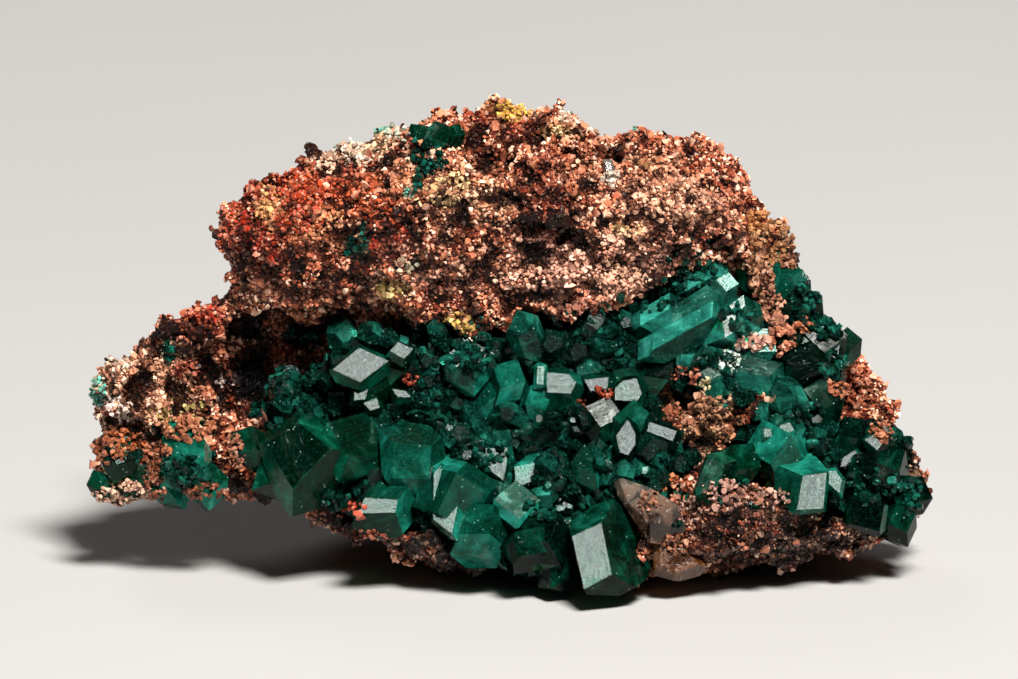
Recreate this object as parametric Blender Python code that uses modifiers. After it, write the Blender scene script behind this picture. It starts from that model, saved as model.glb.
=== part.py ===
"""A dioptase specimen: dark green crystals in a hollow of reddish-brown rock.

The specimen is laid out in a drawing frame, as it is seen from the front and a little from above:
x to the right, v up across the view, y away from the viewer, all in millimetres.
seen() turns that frame into the standing one, in metres, +Z up, resting on the flat cut at z = 0.
"""
import math
import random

import bmesh
import bpy
from mathutils import Matrix, Vector, noise
from mathutils.bvhtree import BVHTree

# Driving dimensions, in millimetres and degrees
MM = 0.001
VIEW_FALL = math.radians(14)      # the front view looks this far down on the standing specimen
REST_DROP = 3.4                   # height of the drawing frame's origin under the resting plane
BACK_SHIFT = 4.4                  # brings the middle of the depth over the standing frame's origin
GAP = 0.34                        # clearance that neighbouring pieces keep
ROCK_GAP = 0.5                    # clearance between the crust's crystals and the rock
CRYSTAL_REACH = 60.0              # size of the block that a crystal is cut from
MERGE = 5e-7                      # points closer than this, in metres, are one
CUT_MERGE = 0.004                 # points of a cut block closer than this are one
CUT_FLAT = math.radians(0.5)      # faces of a cut block that meet at less than this are one
BODY_FLAT = math.radians(0.2)     # the same for a finished body
GROUND_BLOCK = 0.2                # size in metres of the block that cuts the resting face
BOX_ROOM = 0.0004                 # boxes nearer than this, in metres, may touch
RHOMB_LEAN = math.radians(51)     # angle between a crystal's long axis and its end faces' normals
WALL_TAPER = math.radians(9)      # a crystal's hidden walls narrow towards its root
ROCK_VOXEL = 1.1
ROCK_RELIEF = ((7.0, 1.5), (3.2, 0.9), (1.7, 0.5))    # size and height of each layer of its relief
ROCK_SEED = 4
ROCK_TRIANGLES = 1900
CUT_ROCK_TRIANGLES = 3400
CRUST_TRIANGLES = 3100
LINING_VOXEL = 1.3
LINING_TRIANGLES = 210
LINING_ROOM = 1.05                # how far the rock stands off the crust's bed
GLINT_TILT = 18.0                 # the faces that flash together are tipped up this far

OBJECT_NAME = "dioptase_specimen"

DEEP_GREEN = (0.010, 0.115, 0.068)
TEAL_GREEN = (0.020, 0.200, 0.130)


def clear_scene():
    """Remove what the new file holds."""
    for obj in list(bpy.data.objects):
        bpy.data.objects.remove(obj, do_unlink=True)


def new_collection(name):
    """Make a collection in the scene."""
    made = bpy.data.collections.new(name)
    bpy.context.scene.collection.children.link(made)
    return made


def seen(x, v, y):
    """Turn a point of the drawing frame, in millimetres, into the standing frame, in metres."""
    depth = y * math.cos(VIEW_FALL) + v * math.sin(VIEW_FALL) - BACK_SHIFT
    height = v * math.cos(VIEW_FALL) - y * math.sin(VIEW_FALL) - REST_DROP
    return Vector((x * MM, depth * MM, height * MM))


def standing_matrix():
    """The matrix that takes drawing-frame (x, y, v) millimetres to the standing frame."""
    turn = Matrix.Rotation(-VIEW_FALL, 4, "X")
    shift = Matrix.Translation((0.0, -BACK_SHIFT * MM, -REST_DROP * MM))
    return shift @ turn @ Matrix.Scale(MM, 4)


def make_material(name, colour, roughness):
    """A plain stone-like finish with the piece's own colour."""
    material = bpy.data.materials.new(name)
    material.use_nodes = True
    shader = material.node_tree.nodes["Principled BSDF"]
    shader.inputs["Base Color"].default_value = (*colour, 1.0)
    shader.inputs["Roughness"].default_value = roughness
    shader.inputs["Metallic"].default_value = 0.0
    return material


def object_from_bmesh(name, mesh_data, collection):
    """Store a bmesh as a mesh object."""
    mesh = bpy.data.meshes.new(name)
    mesh_data.to_mesh(mesh)
    mesh_data.free()
    made = bpy.data.objects.new(name, mesh)
    collection.objects.link(made)
    return made


# Crystals: each is a block cut by flat planes, given as (point, outward normal)


def facing(pan, tilt):
    """Normal of a face turned by pan to the right and tipped up by tilt, in degrees."""
    turn = math.radians(pan)
    rise = math.radians(tilt)
    return Vector((math.sin(turn) * math.cos(rise), -math.cos(turn) * math.cos(rise), math.sin(rise)))


def on_plane(point, normal, x, v):
    """Depth at which the line of sight through (x, v) meets a plane."""
    y = point.y - (normal.x * (x - point.x) + normal.z * (v - point.z)) / normal.y
    return Vector((x, y, v))


def faced_crystal(face, y, slopes, outline, depth, pan=0.0, tilt=GLINT_TILT):
    """Planes of a crystal known by one flat face, its neighbours' slopes and its outline.

    face and outline are (x, v) corners, clockwise as seen. slopes has one angle for each edge
    of face, between its normal and that of the face beyond the edge.
    """
    normal = facing(pan, tilt)
    middle_x = sum(corner[0] for corner in face) / len(face)
    middle_v = sum(corner[1] for corner in face) / len(face)
    middle = Vector((middle_x, y, middle_v))
    corners = [on_plane(middle, normal, x, v) for x, v in face]
    planes = [(middle, normal)]
    for start, end, slope in zip(corners, corners[1:] + corners[:1], slopes):
        outward = normal.cross(end - start).normalized()
        if outward.dot(start - middle) < 0.0:
            outward.negate()
        lean = math.radians(slope)
        planes.append((start, normal * math.cos(lean) + outward * math.sin(lean)))
    centre = sum((Vector((x, y, v)) for x, v in outline), Vector()) / len(outline)
    for start, end in zip(outline, outline[1:] + outline[:1]):
        first = Vector((start[0], y, start[1]))
        along = Vector((end[0], y, end[1])) - first
        outward = Vector((-along.z, 0.0, along.x)).normalized()
        if outward.dot(first - centre) < 0.0:
            outward.negate()
        wall = outward * math.cos(WALL_TAPER) + Vector((0.0, math.sin(WALL_TAPER), 0.0))
        planes.append((first, wall))
    planes.append((middle + Vector((0.0, depth, 0.0)), Vector((0.0, 1.0, 0.0))))
    return planes


def crystal_axes(kind, pan, tilt, roll):
    """Axes of a crystal whose rhomb or prism face has the given facing and whose tip leans to roll."""
    normal = facing(pan, tilt)
    angle = math.radians(roll)
    across = Vector((math.cos(angle), 0.0, math.sin(angle)))
    across.y = -(across.x * normal.x + across.z * normal.z) / normal.y
    across.normalize()
    if kind == "prism":
        return normal, across.cross(normal), across
    axis = normal * math.cos(RHOMB_LEAN) + across * math.sin(RHOMB_LEAN)
    side = normal * math.sin(RHOMB_LEAN) - across * math.cos(RHOMB_LEAN)
    other = axis.cross(side)
    turn = math.radians(30)
    first = side * math.cos(turn) - other * math.sin(turn)
    return first, axis.cross(first), axis


def grown_crystal(x, v, y, radius, half, kind="rhomb", pan=0.0, tilt=GLINT_TILT, roll=90.0,
                  widths=(1.0, 1.0, 1.0), ends=(0.0, 0.0, 0.0)):
    """Planes of a short six-sided prism closed by three rhomb faces at each end.

    (x, v, y) is its centre, radius its half width and half its half length from tip to tip.
    widths stretches the three pairs of sides, and ends moves the three upper end faces out.
    """
    first, second, axis = crystal_axes(kind, pan, tilt, roll)
    centre = Vector((x, y, v))
    planes = []
    for side in range(6):
        angle = math.radians(60 * side)
        normal = first * math.cos(angle) + second * math.sin(angle)
        planes.append((centre + normal * radius * widths[side % 3], normal))
    reach = half * math.cos(RHOMB_LEAN)
    for end in range(3):
        angle = math.radians(30 + 120 * end)
        flat = first * math.cos(angle) + second * math.sin(angle)
        upper = axis * math.cos(RHOMB_LEAN) + flat * math.sin(RHOMB_LEAN)
        planes.append((centre + upper * (reach + ends[end]), upper))
        angle = math.radians(90 + 120 * end)
        flat = first * math.cos(angle) + second * math.sin(angle)
        lower = flat * math.sin(RHOMB_LEAN) - axis * math.cos(RHOMB_LEAN)
        planes.append((centre + lower * reach, lower))
    return planes


def planes_solid(name, planes, collection, grow=0.0):
    """Cut a block by planes, each moved out by grow, and stand it in the object's frame."""
    cut = bmesh.new()
    centre = sum((point for point, _ in planes), Vector()) / len(planes)
    bmesh.ops.create_cube(cut, size=CRYSTAL_REACH, matrix=Matrix.Translation(centre))
    for point, normal in planes:
        geometry = cut.verts[:] + cut.edges[:] + cut.faces[:]
        result = bmesh.ops.bisect_plane(cut, geom=geometry, dist=1e-5, plane_co=point + normal * grow,
                                        plane_no=normal, clear_outer=True)
        rim = [item for item in result["geom_cut"] if isinstance(item, bmesh.types.BMEdge)]
        if rim:
            bmesh.ops.contextual_create(cut, geom=rim)
    bmesh.ops.remove_doubles(cut, verts=cut.verts[:], dist=CUT_MERGE)
    bmesh.ops.dissolve_limit(cut, angle_limit=CUT_FLAT, verts=cut.verts[:], edges=cut.edges[:])
    bmesh.ops.triangulate(cut, faces=cut.faces[:])
    bmesh.ops.recalc_face_normals(cut, faces=cut.faces[:])
    cut.transform(standing_matrix())
    return object_from_bmesh(name, cut, collection)


# The larger crystals, in the groups that have grown together. A later group gives way to an earlier one

CRYSTAL_GROUPS = {
    "front_large_crystal": [
        faced_crystal([(6.5, 6.75), (9.55, 8.15), (10.6, 2.85), (7.75, 1.3)], -19.0, (45, 48, 55, 80),
                      [(5.6, 8.3), (8.4, 10.6), (10.8, 11.4), (12.8, 9.9), (14.4, 7.2), (15.4, 3.6),
                       (14.8, 2.0), (11.5, 0.4), (7.7, 0.9), (6.3, 6.2)], 12.0),
        grown_crystal(4.2, 5.6, -13.5, 2.6, 4.2, pan=-20, tilt=35, roll=120),
        grown_crystal(1.8, 5.2, -14.5, 2.2, 3.4, pan=15, tilt=10, roll=60, widths=(1.2, 0.9, 1.0)),
        grown_crystal(5.6, 2.9, -14.0, 1.8, 3.0, kind="prism", pan=-10, tilt=5, roll=30),
    ],
    "front_left_crystals": [
        faced_crystal([(-14.96, 10.73), (-11.5, 10.5), (-11.74, 9.18), (-15.56, 9.06)], -14.5,
                      (38, 62, 48, 70),
                      [(-15.9, 9.0), (-14.9, 11.2), (-13.4, 13.2), (-10.2, 13.1), (-8.9, 11.0),
                       (-9.2, 8.2), (-11.5, 6.3), (-14.6, 6.3), (-16.5, 7.8)], 9.0),
        faced_crystal([(-11.98, 16.35), (-8.04, 16.1), (-8.28, 12.65), (-12.1, 12.76)], -12.6,
                      (42, 50, 46, 46),
                      [(-13.8, 17.2), (-11.5, 19.2), (-8.0, 18.6), (-6.2, 16.5), (-6.4, 13.0),
                       (-8.0, 11.0), (-11.5, 10.7), (-13.3, 13.2)], 8.0, pan=3, tilt=10),
        faced_crystal([(-7.8, 13.3), (-7.2, 13.85), (-4.85, 12.0), (-5.9, 7.0), (-7.85, 8.5)], -14.6,
                      (60, 46, 48, 76, 76),
                      [(-8.2, 13.6), (-6.5, 15.2), (-3.2, 14.6), (-2.0, 12.9), (-3.4, 8.6), (-5.2, 6.4),
                       (-6.2, 6.5), (-8.1, 8.2)], 9.0),
        grown_crystal(0.5, 9.3, -12.2, 2.5, 3.3, pan=12, tilt=28, roll=95),
        grown_crystal(-3.0, 6.7, -13.2, 2.6, 4.1, pan=-25, tilt=30, roll=40),
        grown_crystal(-5.6, 11.0, -11.5, 3.4, 5.2, pan=30, tilt=-10, roll=200),
    ],
    "left_dark_crystals": [
        faced_crystal([(-25.2, 16.2), (-21.8, 18.5), (-18.6, 15.8), (-22.4, 11.6)], -12.0,
                      (42, 50, 52, 50),
                      [(-26.6, 16.9), (-24.8, 18.9), (-20.5, 20.2), (-17.2, 18.4), (-16.3, 13.5),
                       (-17.4, 10.0), (-22.6, 8.8), (-24.6, 11.0)], 10.0, pan=-12, tilt=22),
        grown_crystal(-16.8, 15.0, -8.5, 3.4, 5.0, pan=18, tilt=30, roll=70),
        grown_crystal(-23.6, 13.2, -8.0, 2.6, 4.2, kind="prism", pan=-35, tilt=8, roll=20),
        grown_crystal(-26.4, 15.6, -7.5, 1.9, 3.2, pan=-20, tilt=20, roll=150),
    ],
    "kite_faced_crystals": [
        faced_crystal([(-18.3, 23.99), (-15.56, 26.25), (-12.5, 24.87), (-15.44, 22.67)], -8.6,
                      (60, 50, 60, 48),
                      [(-18.8, 24.0), (-15.8, 26.9), (-11.9, 25.2), (-12.2, 23.4), (-14.8, 21.6),
                       (-18.0, 22.5)], 6.0),
        faced_crystal([(-12.34, 25.9), (-11.5, 26.85), (-9.95, 26.1), (-10.9, 25.06)], -9.0,
                      (60, 60, 60, 48),
                      [(-12.6, 25.9), (-11.6, 27.2), (-9.6, 26.3), (-9.9, 24.9), (-11.0, 24.2),
                       (-12.3, 24.8)], 5.0),
        faced_crystal([(-16.16, 22.43), (-14.6, 22.2), (-14.9, 20.88), (-16.04, 20.76)], -8.2,
                      (60, 50, 50, 50),
                      [(-16.5, 22.6), (-14.3, 22.6), (-14.2, 20.7), (-15.0, 19.8), (-16.6, 20.3)], 5.0),
        faced_crystal([(-15.1, 20.5), (-13.7, 21.0), (-13.4, 20.05), (-14.4, 19.7)], -8.4,
                      (55, 50, 50, 50),
                      [(-15.3, 20.5), (-13.9, 21.5), (-12.9, 20.3), (-13.4, 19.2), (-14.9, 19.2)], 4.0),
        faced_crystal([(-12.1, 21.96), (-10.8, 21.8), (-10.1, 21.1), (-11.6, 21.1)], -7.6,
                      (55, 55, 50, 50),
                      [(-12.5, 22.0), (-11.0, 22.6), (-9.6, 21.2), (-10.6, 20.2), (-12.3, 20.6)], 4.0),
        grown_crystal(-14.2, 22.6, -5.2, 2.5, 3.6, pan=10, tilt=10, roll=80),
        grown_crystal(-11.8, 23.6, -5.4, 2.0, 3.2, pan=-15, tilt=40, roll=20),
        grown_crystal(-20.2, 21.6, -4.0, 2.2, 3.6, pan=-15, tilt=20, roll=60),
    ],
    "middle_striated_crystals": [
        faced_crystal([(-2.43, 15.8), (-0.16, 15.87), (-0.28, 13.84), (-0.64, 12.5), (-2.07, 13.6)], -10.6,
                      (50, 50, 60, 60, 75),
                      [(-2.8, 16.0), (-1.5, 17.0), (0.4, 16.6), (0.9, 14.0), (-0.3, 12.2), (-2.4, 13.2)],
                      6.0),
        faced_crystal([(0.56, 13.84), (4.38, 14.8), (5.33, 14.3), (5.45, 13.5), (3.06, 12.64),
                       (0.8, 11.7)], -11.0, (48, 50, 60, 60, 60, 60),
                      [(0.3, 13.9), (2.0, 15.6), (5.0, 16.0), (6.2, 14.6), (5.7, 12.8), (3.2, 12.0),
                       (0.6, 11.3)], 6.0),
        grown_crystal(8.3, 13.1, -9.4, 2.1, 3.2, pan=10, tilt=35, roll=110),
        grown_crystal(3.6, 12.6, -8.0, 2.3, 3.8, pan=-12, tilt=5, roll=60),
    ],
    "hollow_bright_crystals": [
        faced_crystal([(3.8, 23.7), (6.2, 23.5), (7.0, 22.6), (6.4, 21.5), (4.0, 21.6)], -8.4,
                      (50, 55, 50, 48, 60),
                      [(3.3, 23.9), (5.2, 25.0), (7.4, 23.6), (8.0, 21.8), (6.7, 19.6), (4.0, 19.8),
                       (3.2, 21.4)], 6.0),
        faced_crystal([(2.95, 24.35), (3.75, 24.35), (3.54, 22.4), (2.85, 22.5)], -8.8,
                      (50, 60, 50, 50),
                      [(2.5, 24.5), (3.2, 25.1), (4.1, 24.5), (3.9, 22.2), (2.5, 21.9)], 4.0),
        grown_crystal(-4.3, 24.0, -6.5, 2.6, 3.8, pan=8, tilt=20, roll=100),
        grown_crystal(0.0, 22.2, -6.6, 2.0, 3.2, pan=-10, tilt=25, roll=60),
        grown_crystal(2.8, 20.0, -7.2, 1.7, 2.7, pan=20, tilt=20, roll=120),
        grown_crystal(-2.0, 20.6, -5.6, 2.0, 3.2, pan=-30, tilt=10, roll=80),
        grown_crystal(5.0, 20.6, -5.0, 2.4, 3.6, pan=10, tilt=0, roll=40),
    ],
    "hollow_right_crystals": [
        faced_crystal([(11.0, 22.0), (11.8, 22.8), (13.26, 23.06), (13.8, 21.47), (13.26, 20.67),
                       (11.0, 20.8)], -8.4, (50, 50, 60, 60, 50, 60),
                      [(10.7, 22.2), (11.9, 23.6), (13.8, 23.5), (14.4, 21.3), (13.5, 20.0), (10.7, 20.2)],
                      5.0),
        faced_crystal([(7.8, 22.9), (10.34, 23.2), (10.2, 22.0), (8.5, 21.7)], -7.6, (50, 60, 50, 50),
                      [(7.5, 23.0), (8.8, 24.2), (10.8, 23.9), (10.8, 21.6), (8.3, 21.0)], 4.5),
        faced_crystal([(11.1, 17.1), (12.33, 18.8), (13.1, 17.36), (13.1, 16.2), (12.33, 15.1),
                       (11.5, 15.4)], -11.0, (48, 50, 60, 50, 60, 60),
                      [(10.7, 17.1), (11.9, 19.6), (13.6, 18.4), (14.0, 16.0), (12.6, 14.4), (11.2, 14.7)],
                      6.0),
        faced_crystal([(14.6, 18.55), (17.4, 17.6), (16.98, 16.56), (14.3, 17.6)], -11.0,
                      (40, 60, 48, 60),
                      [(13.9, 18.9), (15.3, 20.9), (17.8, 19.8), (18.4, 17.2), (17.0, 15.2), (14.5, 14.9),
                       (13.7, 16.8)], 7.0),
        grown_crystal(12.0, 21.2, -5.6, 2.3, 3.6, pan=15, tilt=30, roll=60),
        grown_crystal(9.0, 21.6, -5.0, 2.0, 3.2, pan=-10, tilt=20, roll=110),
        grown_crystal(12.6, 17.6, -7.4, 2.2, 3.8, pan=10, tilt=10, roll=90),
        grown_crystal(15.2, 22.6, -5.6, 2.0, 3.4, pan=-10, tilt=35, roll=30),
        grown_crystal(9.6, 18.2, -7.4, 2.0, 3.2, pan=5, tilt=25, roll=75),
    ],
    "grey_faced_crystal": [
        faced_crystal([(20.5, 14.85), (22.4, 14.2), (21.6, 12.0), (19.4, 10.9), (19.3, 11.6)], -14.6,
                      (45, 48, 60, 70, 70),
                      [(18.9, 11.0), (20.2, 15.3), (22.5, 16.1), (24.7, 14.9), (24.4, 12.0), (22.0, 10.2),
                       (19.6, 10.0)], 8.0, tilt=14),
        grown_crystal(23.4, 13.8, -11.0, 2.0, 3.2, pan=30, tilt=20, roll=60),
    ],
    "right_large_crystal": [
        faced_crystal([(30.4, 13.0), (32.9, 13.3), (32.5, 9.6), (29.8, 9.5)], -15.0, (47, 70, 60, 40),
                      [(26.4, 16.9), (30.6, 17.4), (32.2, 15.8), (33.4, 13.2), (32.8, 9.3), (29.4, 8.9),
                       (27.2, 11.5)], 9.0),
        faced_crystal([(33.05, 13.45), (33.8, 13.5), (34.45, 12.6), (34.2, 11.15), (33.1, 12.2)], -13.6,
                      (50, 60, 60, 50, 60),
                      [(32.8, 13.8), (34.0, 14.1), (35.0, 12.6), (34.5, 10.6), (32.9, 11.6)], 5.0),
        faced_crystal([(28.0, 18.15), (29.05, 18.55), (29.6, 17.75), (28.65, 17.2)], -11.4,
                      (55, 55, 50, 50),
                      [(27.7, 18.2), (29.1, 19.1), (30.1, 17.8), (28.8, 16.6), (27.9, 17.0)], 5.0),
        faced_crystal([(26.4, 17.9), (27.86, 17.75), (27.86, 17.1), (26.5, 16.96)], -11.0,
                      (50, 55, 50, 55),
                      [(26.1, 18.0), (27.0, 18.8), (28.3, 18.2), (28.3, 16.7), (26.2, 16.5)], 4.0),
        grown_crystal(28.2, 15.0, -9.0, 2.8, 4.4, pan=-30, tilt=15, roll=100),
        grown_crystal(28.8, 17.2, -8.4, 1.9, 3.0, pan=0, tilt=30, roll=60),
    ],
    "right_end_block": [
        faced_crystal([(35.4, 10.6), (38.9, 9.9), (38.4, 7.2), (35.3, 8.0)], -12.0, (60, 58, 55, 55),
                      [(34.9, 10.5), (35.8, 11.3), (39.5, 10.0), (39.2, 7.1), (38.0, 6.5), (34.9, 7.7)],
                      8.0, pan=6, tilt=4),
        grown_crystal(41.4, 10.4, -7.0, 1.9, 3.0, pan=30, tilt=20, roll=70),
        grown_crystal(40.4, 7.8, -7.6, 1.7, 2.8, pan=20, tilt=5, roll=110),
    ],
    "right_edge_crystals": [
        faced_crystal([(36.9, 16.7), (38.0, 17.3), (39.3, 16.96), (38.2, 15.6)], -9.4, (55, 50, 50, 50),
                      [(36.6, 16.8), (37.9, 18.0), (39.9, 17.2), (38.9, 14.9), (37.2, 15.2)], 5.0),
        faced_crystal([(34.4, 13.9), (34.6, 14.8), (35.9, 15.6), (36.2, 15.2), (34.9, 13.9)], -9.8,
                      (60, 50, 50, 50, 60),
                      [(34.1, 13.8), (34.3, 15.2), (35.8, 16.4), (36.9, 15.2), (36.2, 13.4), (34.6, 13.2)],
                      5.0),
        grown_crystal(36.8, 13.2, -8.2, 2.0, 3.2, pan=10, tilt=12, roll=60),
        grown_crystal(39.2, 13.4, -7.6, 2.0, 3.4, pan=25, tilt=25, roll=120),
        grown_crystal(38.2, 15.9, -6.6, 2.0, 3.2, pan=-10, tilt=10, roll=80),
        grown_crystal(35.4, 16.4, -7.0, 1.8, 3.2, pan=-20, tilt=35, roll=30),
    ],
    "parallel_growth_mass": [
        grown_crystal(18.2, 27.6, -6.2, 1.7, 5.6, kind="prism", pan=-6, tilt=26, roll=29,
                      widths=(1.1, 0.9, 1.0)),
        grown_crystal(19.6, 30.2, -4.6, 1.7, 5.0, kind="prism", pan=-2, tilt=30, roll=33),
        grown_crystal(23.2, 28.6, -5.4, 2.2, 3.9, kind="prism", pan=6, tilt=24, roll=36),
        grown_crystal(17.0, 25.0, -5.6, 1.5, 2.9, kind="prism", pan=-8, tilt=14, roll=24),
        grown_crystal(20.9, 23.0, -6.0, 1.7, 2.7, pan=0, tilt=22, roll=75),
        grown_crystal(24.9, 23.6, -5.4, 1.7, 4.6, kind="prism", pan=4, tilt=30, roll=-10),
        grown_crystal(22.4, 31.9, -4.6, 1.2, 2.3, pan=10, tilt=24, roll=82),
        grown_crystal(21.6, 25.6, -5.0, 2.0, 3.6, kind="prism", pan=2, tilt=28, roll=30),
        grown_crystal(25.6, 25.8, -4.4, 1.9, 3.2, pan=8, tilt=20, roll=50),
        grown_crystal(15.4, 29.4, -4.2, 1.5, 3.4, kind="prism", pan=-10, tilt=34, roll=30),
        grown_crystal(20.0, 33.0, -2.6, 1.6, 3.4, kind="prism", pan=0, tilt=34, roll=28),
    ],
    "glinting_cluster": [
        faced_crystal([(29.8, 27.4), (31.1, 27.6), (31.4, 26.4), (30.3, 26.0)], -5.0, (50, 55, 50, 55),
                      [(29.4, 27.6), (30.4, 28.6), (31.8, 27.7), (32.0, 26.0), (30.2, 25.2), (29.5, 26.0)],
                      5.0),
        faced_crystal([(33.2, 27.4), (34.4, 26.8), (34.2, 24.9), (33.2, 25.6)], -4.6, (50, 55, 50, 55),
                      [(32.9, 27.6), (33.8, 28.4), (35.0, 27.1), (34.9, 24.4), (33.6, 24.0), (32.8, 25.4)],
                      5.0),
        grown_crystal(30.6, 23.8, -5.0, 2.4, 3.8, pan=-5, tilt=12, roll=70),
        grown_crystal(32.8, 22.2, -4.6, 1.9, 3.2, pan=15, tilt=20, roll=110),
        grown_crystal(28.4, 26.6, -3.6, 2.3, 3.8, pan=-10, tilt=30, roll=60),
        grown_crystal(32.5, 26.2, -2.6, 2.4, 3.8, pan=10, tilt=20, roll=90),
        grown_crystal(30.4, 29.4, -2.4, 2.2, 3.6, pan=5, tilt=32, roll=100),
        grown_crystal(32.4, 20.2, -5.8, 2.2, 3.6, pan=5, tilt=15, roll=80),
        grown_crystal(35.0, 26.0, -1.8, 1.5, 2.5, pan=15, tilt=25, roll=95),
    ],
    "back_slope_crystals": [
        grown_crystal(28.2, 32.4, 0.4, 2.3, 3.9, pan=0, tilt=34, roll=80),
        grown_crystal(30.8, 29.6, 2.0, 1.8, 3.0, pan=15, tilt=24, roll=110),
        grown_crystal(27.4, 35.4, 2.0, 1.9, 3.2, pan=5, tilt=30, roll=60),
        grown_crystal(25.8, 33.4, 0.2, 1.8, 3.0, pan=-15, tilt=28, roll=90),
    ],
    "left_arm_crystals": [
        grown_crystal(-33.6, 13.6, -6.6, 2.4, 4.0, pan=-8, tilt=30, roll=40),
        grown_crystal(-31.2, 11.8, -7.0, 1.8, 3.0, pan=10, tilt=10, roll=90),
        grown_crystal(-35.2, 11.6, -6.2, 1.7, 2.8, pan=-20, tilt=18, roll=120),
        grown_crystal(-34.2, 16.4, -5.6, 1.8, 3.0, pan=12, tilt=36, roll=60),
    ],
    "left_hollow_crystals": [
        grown_crystal(-40.4, 14.4, -5.2, 1.9, 3.0, pan=0, tilt=20, roll=70),
        grown_crystal(-42.2, 11.8, -4.6, 1.3, 2.2, pan=-20, tilt=10, roll=110),
        grown_crystal(-38.9, 12.4, -5.0, 1.3, 2.2, pan=10, tilt=30, roll=40),
    ],
    "top_pocket_crystals": [
        grown_crystal(-7.6, 47.6, -4.8, 1.5, 2.6, pan=0, tilt=30, roll=20),
        grown_crystal(-9.2, 47.9, -4.4, 1.2, 2.0, pan=-15, tilt=20, roll=120),
        grown_crystal(-5.9, 47.9, -4.4, 1.0, 1.8, pan=20, tilt=30, roll=70),
    ],
}

CLEAR_WEDGE = [
    faced_crystal([(11.4, 12.6), (14.2, 11.5), (16.3, 9.9), (14.6, 8.0), (12.2, 10.4)], -15.6,
                  (52, 48, 50, 42, 46),
                  [(10.4, 12.4), (11.6, 13.1), (14.5, 12.0), (17.2, 10.2), (18.4, 7.4), (17.0, 5.6),
                   (14.4, 6.2), (12.8, 8.4), (11.2, 10.4)], 6.0, pan=-14, tilt=20),
    faced_crystal([(15.6, 5.6), (18.2, 5.4), (19.6, 3.8), (17.4, 2.9), (15.6, 3.8)], -15.4,
                  (44, 50, 55, 40, 48),
                  [(14.7, 5.4), (16.2, 7.4), (18.8, 6.4), (20.8, 3.9), (20.0, 2.4), (17.6, 1.9),
                   (15.0, 2.6)], 6.0, pan=6, tilt=8),
]
PALE_SHARD = [
    faced_crystal([(9.9, 45.6), (10.6, 45.5), (10.8, 44.2), (10.2, 43.8)], -8.6, (50, 60, 50, 60),
                  [(9.6, 45.9), (10.8, 46.0), (11.3, 44.1), (10.3, 43.2), (9.7, 44.0)], 4.0),
]

# The rock, as lumps: centre x, v, y, then half width, half height and half depth, in millimetres

BOULDER_LUMPS = [
    (-20.6, 37.0, 1.0, 9.3, 8.2, 11.5), (-9.0, 38.6, 0.0, 13.0, 11.2, 12.5),
    (5.0, 39.4, 1.0, 13.0, 10.6, 12.5), (16.0, 42.2, 4.0, 10.0, 7.6, 10.5),
    (-25.4, 38.5, 2.0, 5.6, 6.4, 8.0), (20.6, 41.0, 4.0, 5.4, 6.0, 8.5),
    (-19.6, 45.2, 2.0, 2.5, 3.1, 5.0), (-14.0, 45.8, 1.0, 5.0, 3.9, 6.0),
    (-6.0, 47.5, 3.0, 5.0, 4.1, 6.0), (-1.2, 49.2, 3.0, 2.6, 3.4, 4.0),
    (5.0, 47.8, 3.0, 4.6, 3.4, 6.0), (13.8, 46.4, 4.0, 5.6, 3.7, 6.0),
    (17.4, 44.6, 4.0, 3.0, 3.0, 5.0), (22.2, 42.0, 4.0, 2.7, 3.0, 5.0),
    (-28.0, 39.0, 1.0, 2.3, 4.8, 4.5), (-26.8, 42.6, 1.5, 2.0, 2.1, 4.0),
    (-20.0, 32.0, -2.0, 8.0, 3.2, 6.0), (-9.0, 31.6, -3.6, 8.0, 3.8, 6.2),
    (-3.4, 29.4, -4.4, 3.6, 3.4, 5.2), (8.0, 33.0, -2.6, 9.0, 4.6, 7.0),
    (16.0, 37.0, -1.0, 6.0, 5.0, 7.0), (22.4, 38.4, 0.0, 3.0, 3.8, 6.0),
    (-27.4, 32.6, 0.0, 2.6, 2.6, 4.0), (-1.0, 38.0, 10.0, 21.0, 11.0, 8.4),
]
CENTRE_LUMPS = [
    (-5.0, 20.0, 11.0, 25.0, 14.0, 9.0), (22.0, 19.0, 8.0, 13.0, 13.0, 11.0),
    (-12.0, 22.0, 14.0, 14.0, 12.0, 8.0), (-24.0, 26.0, 10.0, 9.0, 8.0, 7.0),
    (4.0, 14.0, 4.0, 26.0, 10.0, 11.0), (10.0, 10.0, 6.0, 24.0, 8.4, 13.0),
]
LEDGE_LUMPS = [
    (-10.4, 8.4, -5.0, 7.6, 3.1, 8.0), (-19.8, 11.2, -5.0, 4.6, 2.3, 6.4),
    (-29.5, 12.4, -1.0, 6.0, 2.5, 6.0), (-7.0, 6.2, -6.4, 8.0, 3.2, 7.6),
    (1.0, 6.3, -8.0, 8.0, 3.1, 8.4), (9.0, 5.0, -9.4, 8.0, 3.6, 8.4),
    (16.8, 5.6, -7.4, 5.0, 3.0, 7.0), (24.0, 5.8, -9.0, 9.0, 3.2, 7.6),
    (32.0, 6.8, -6.6, 7.0, 3.0, 7.2), (24.0, 9.4, -9.6, 7.0, 3.4, 6.0),
    (38.0, 8.8, -3.6, 5.0, 2.7, 6.0), (18.2, 10.8, -8.6, 3.2, 3.4, 5.0),
]
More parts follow.
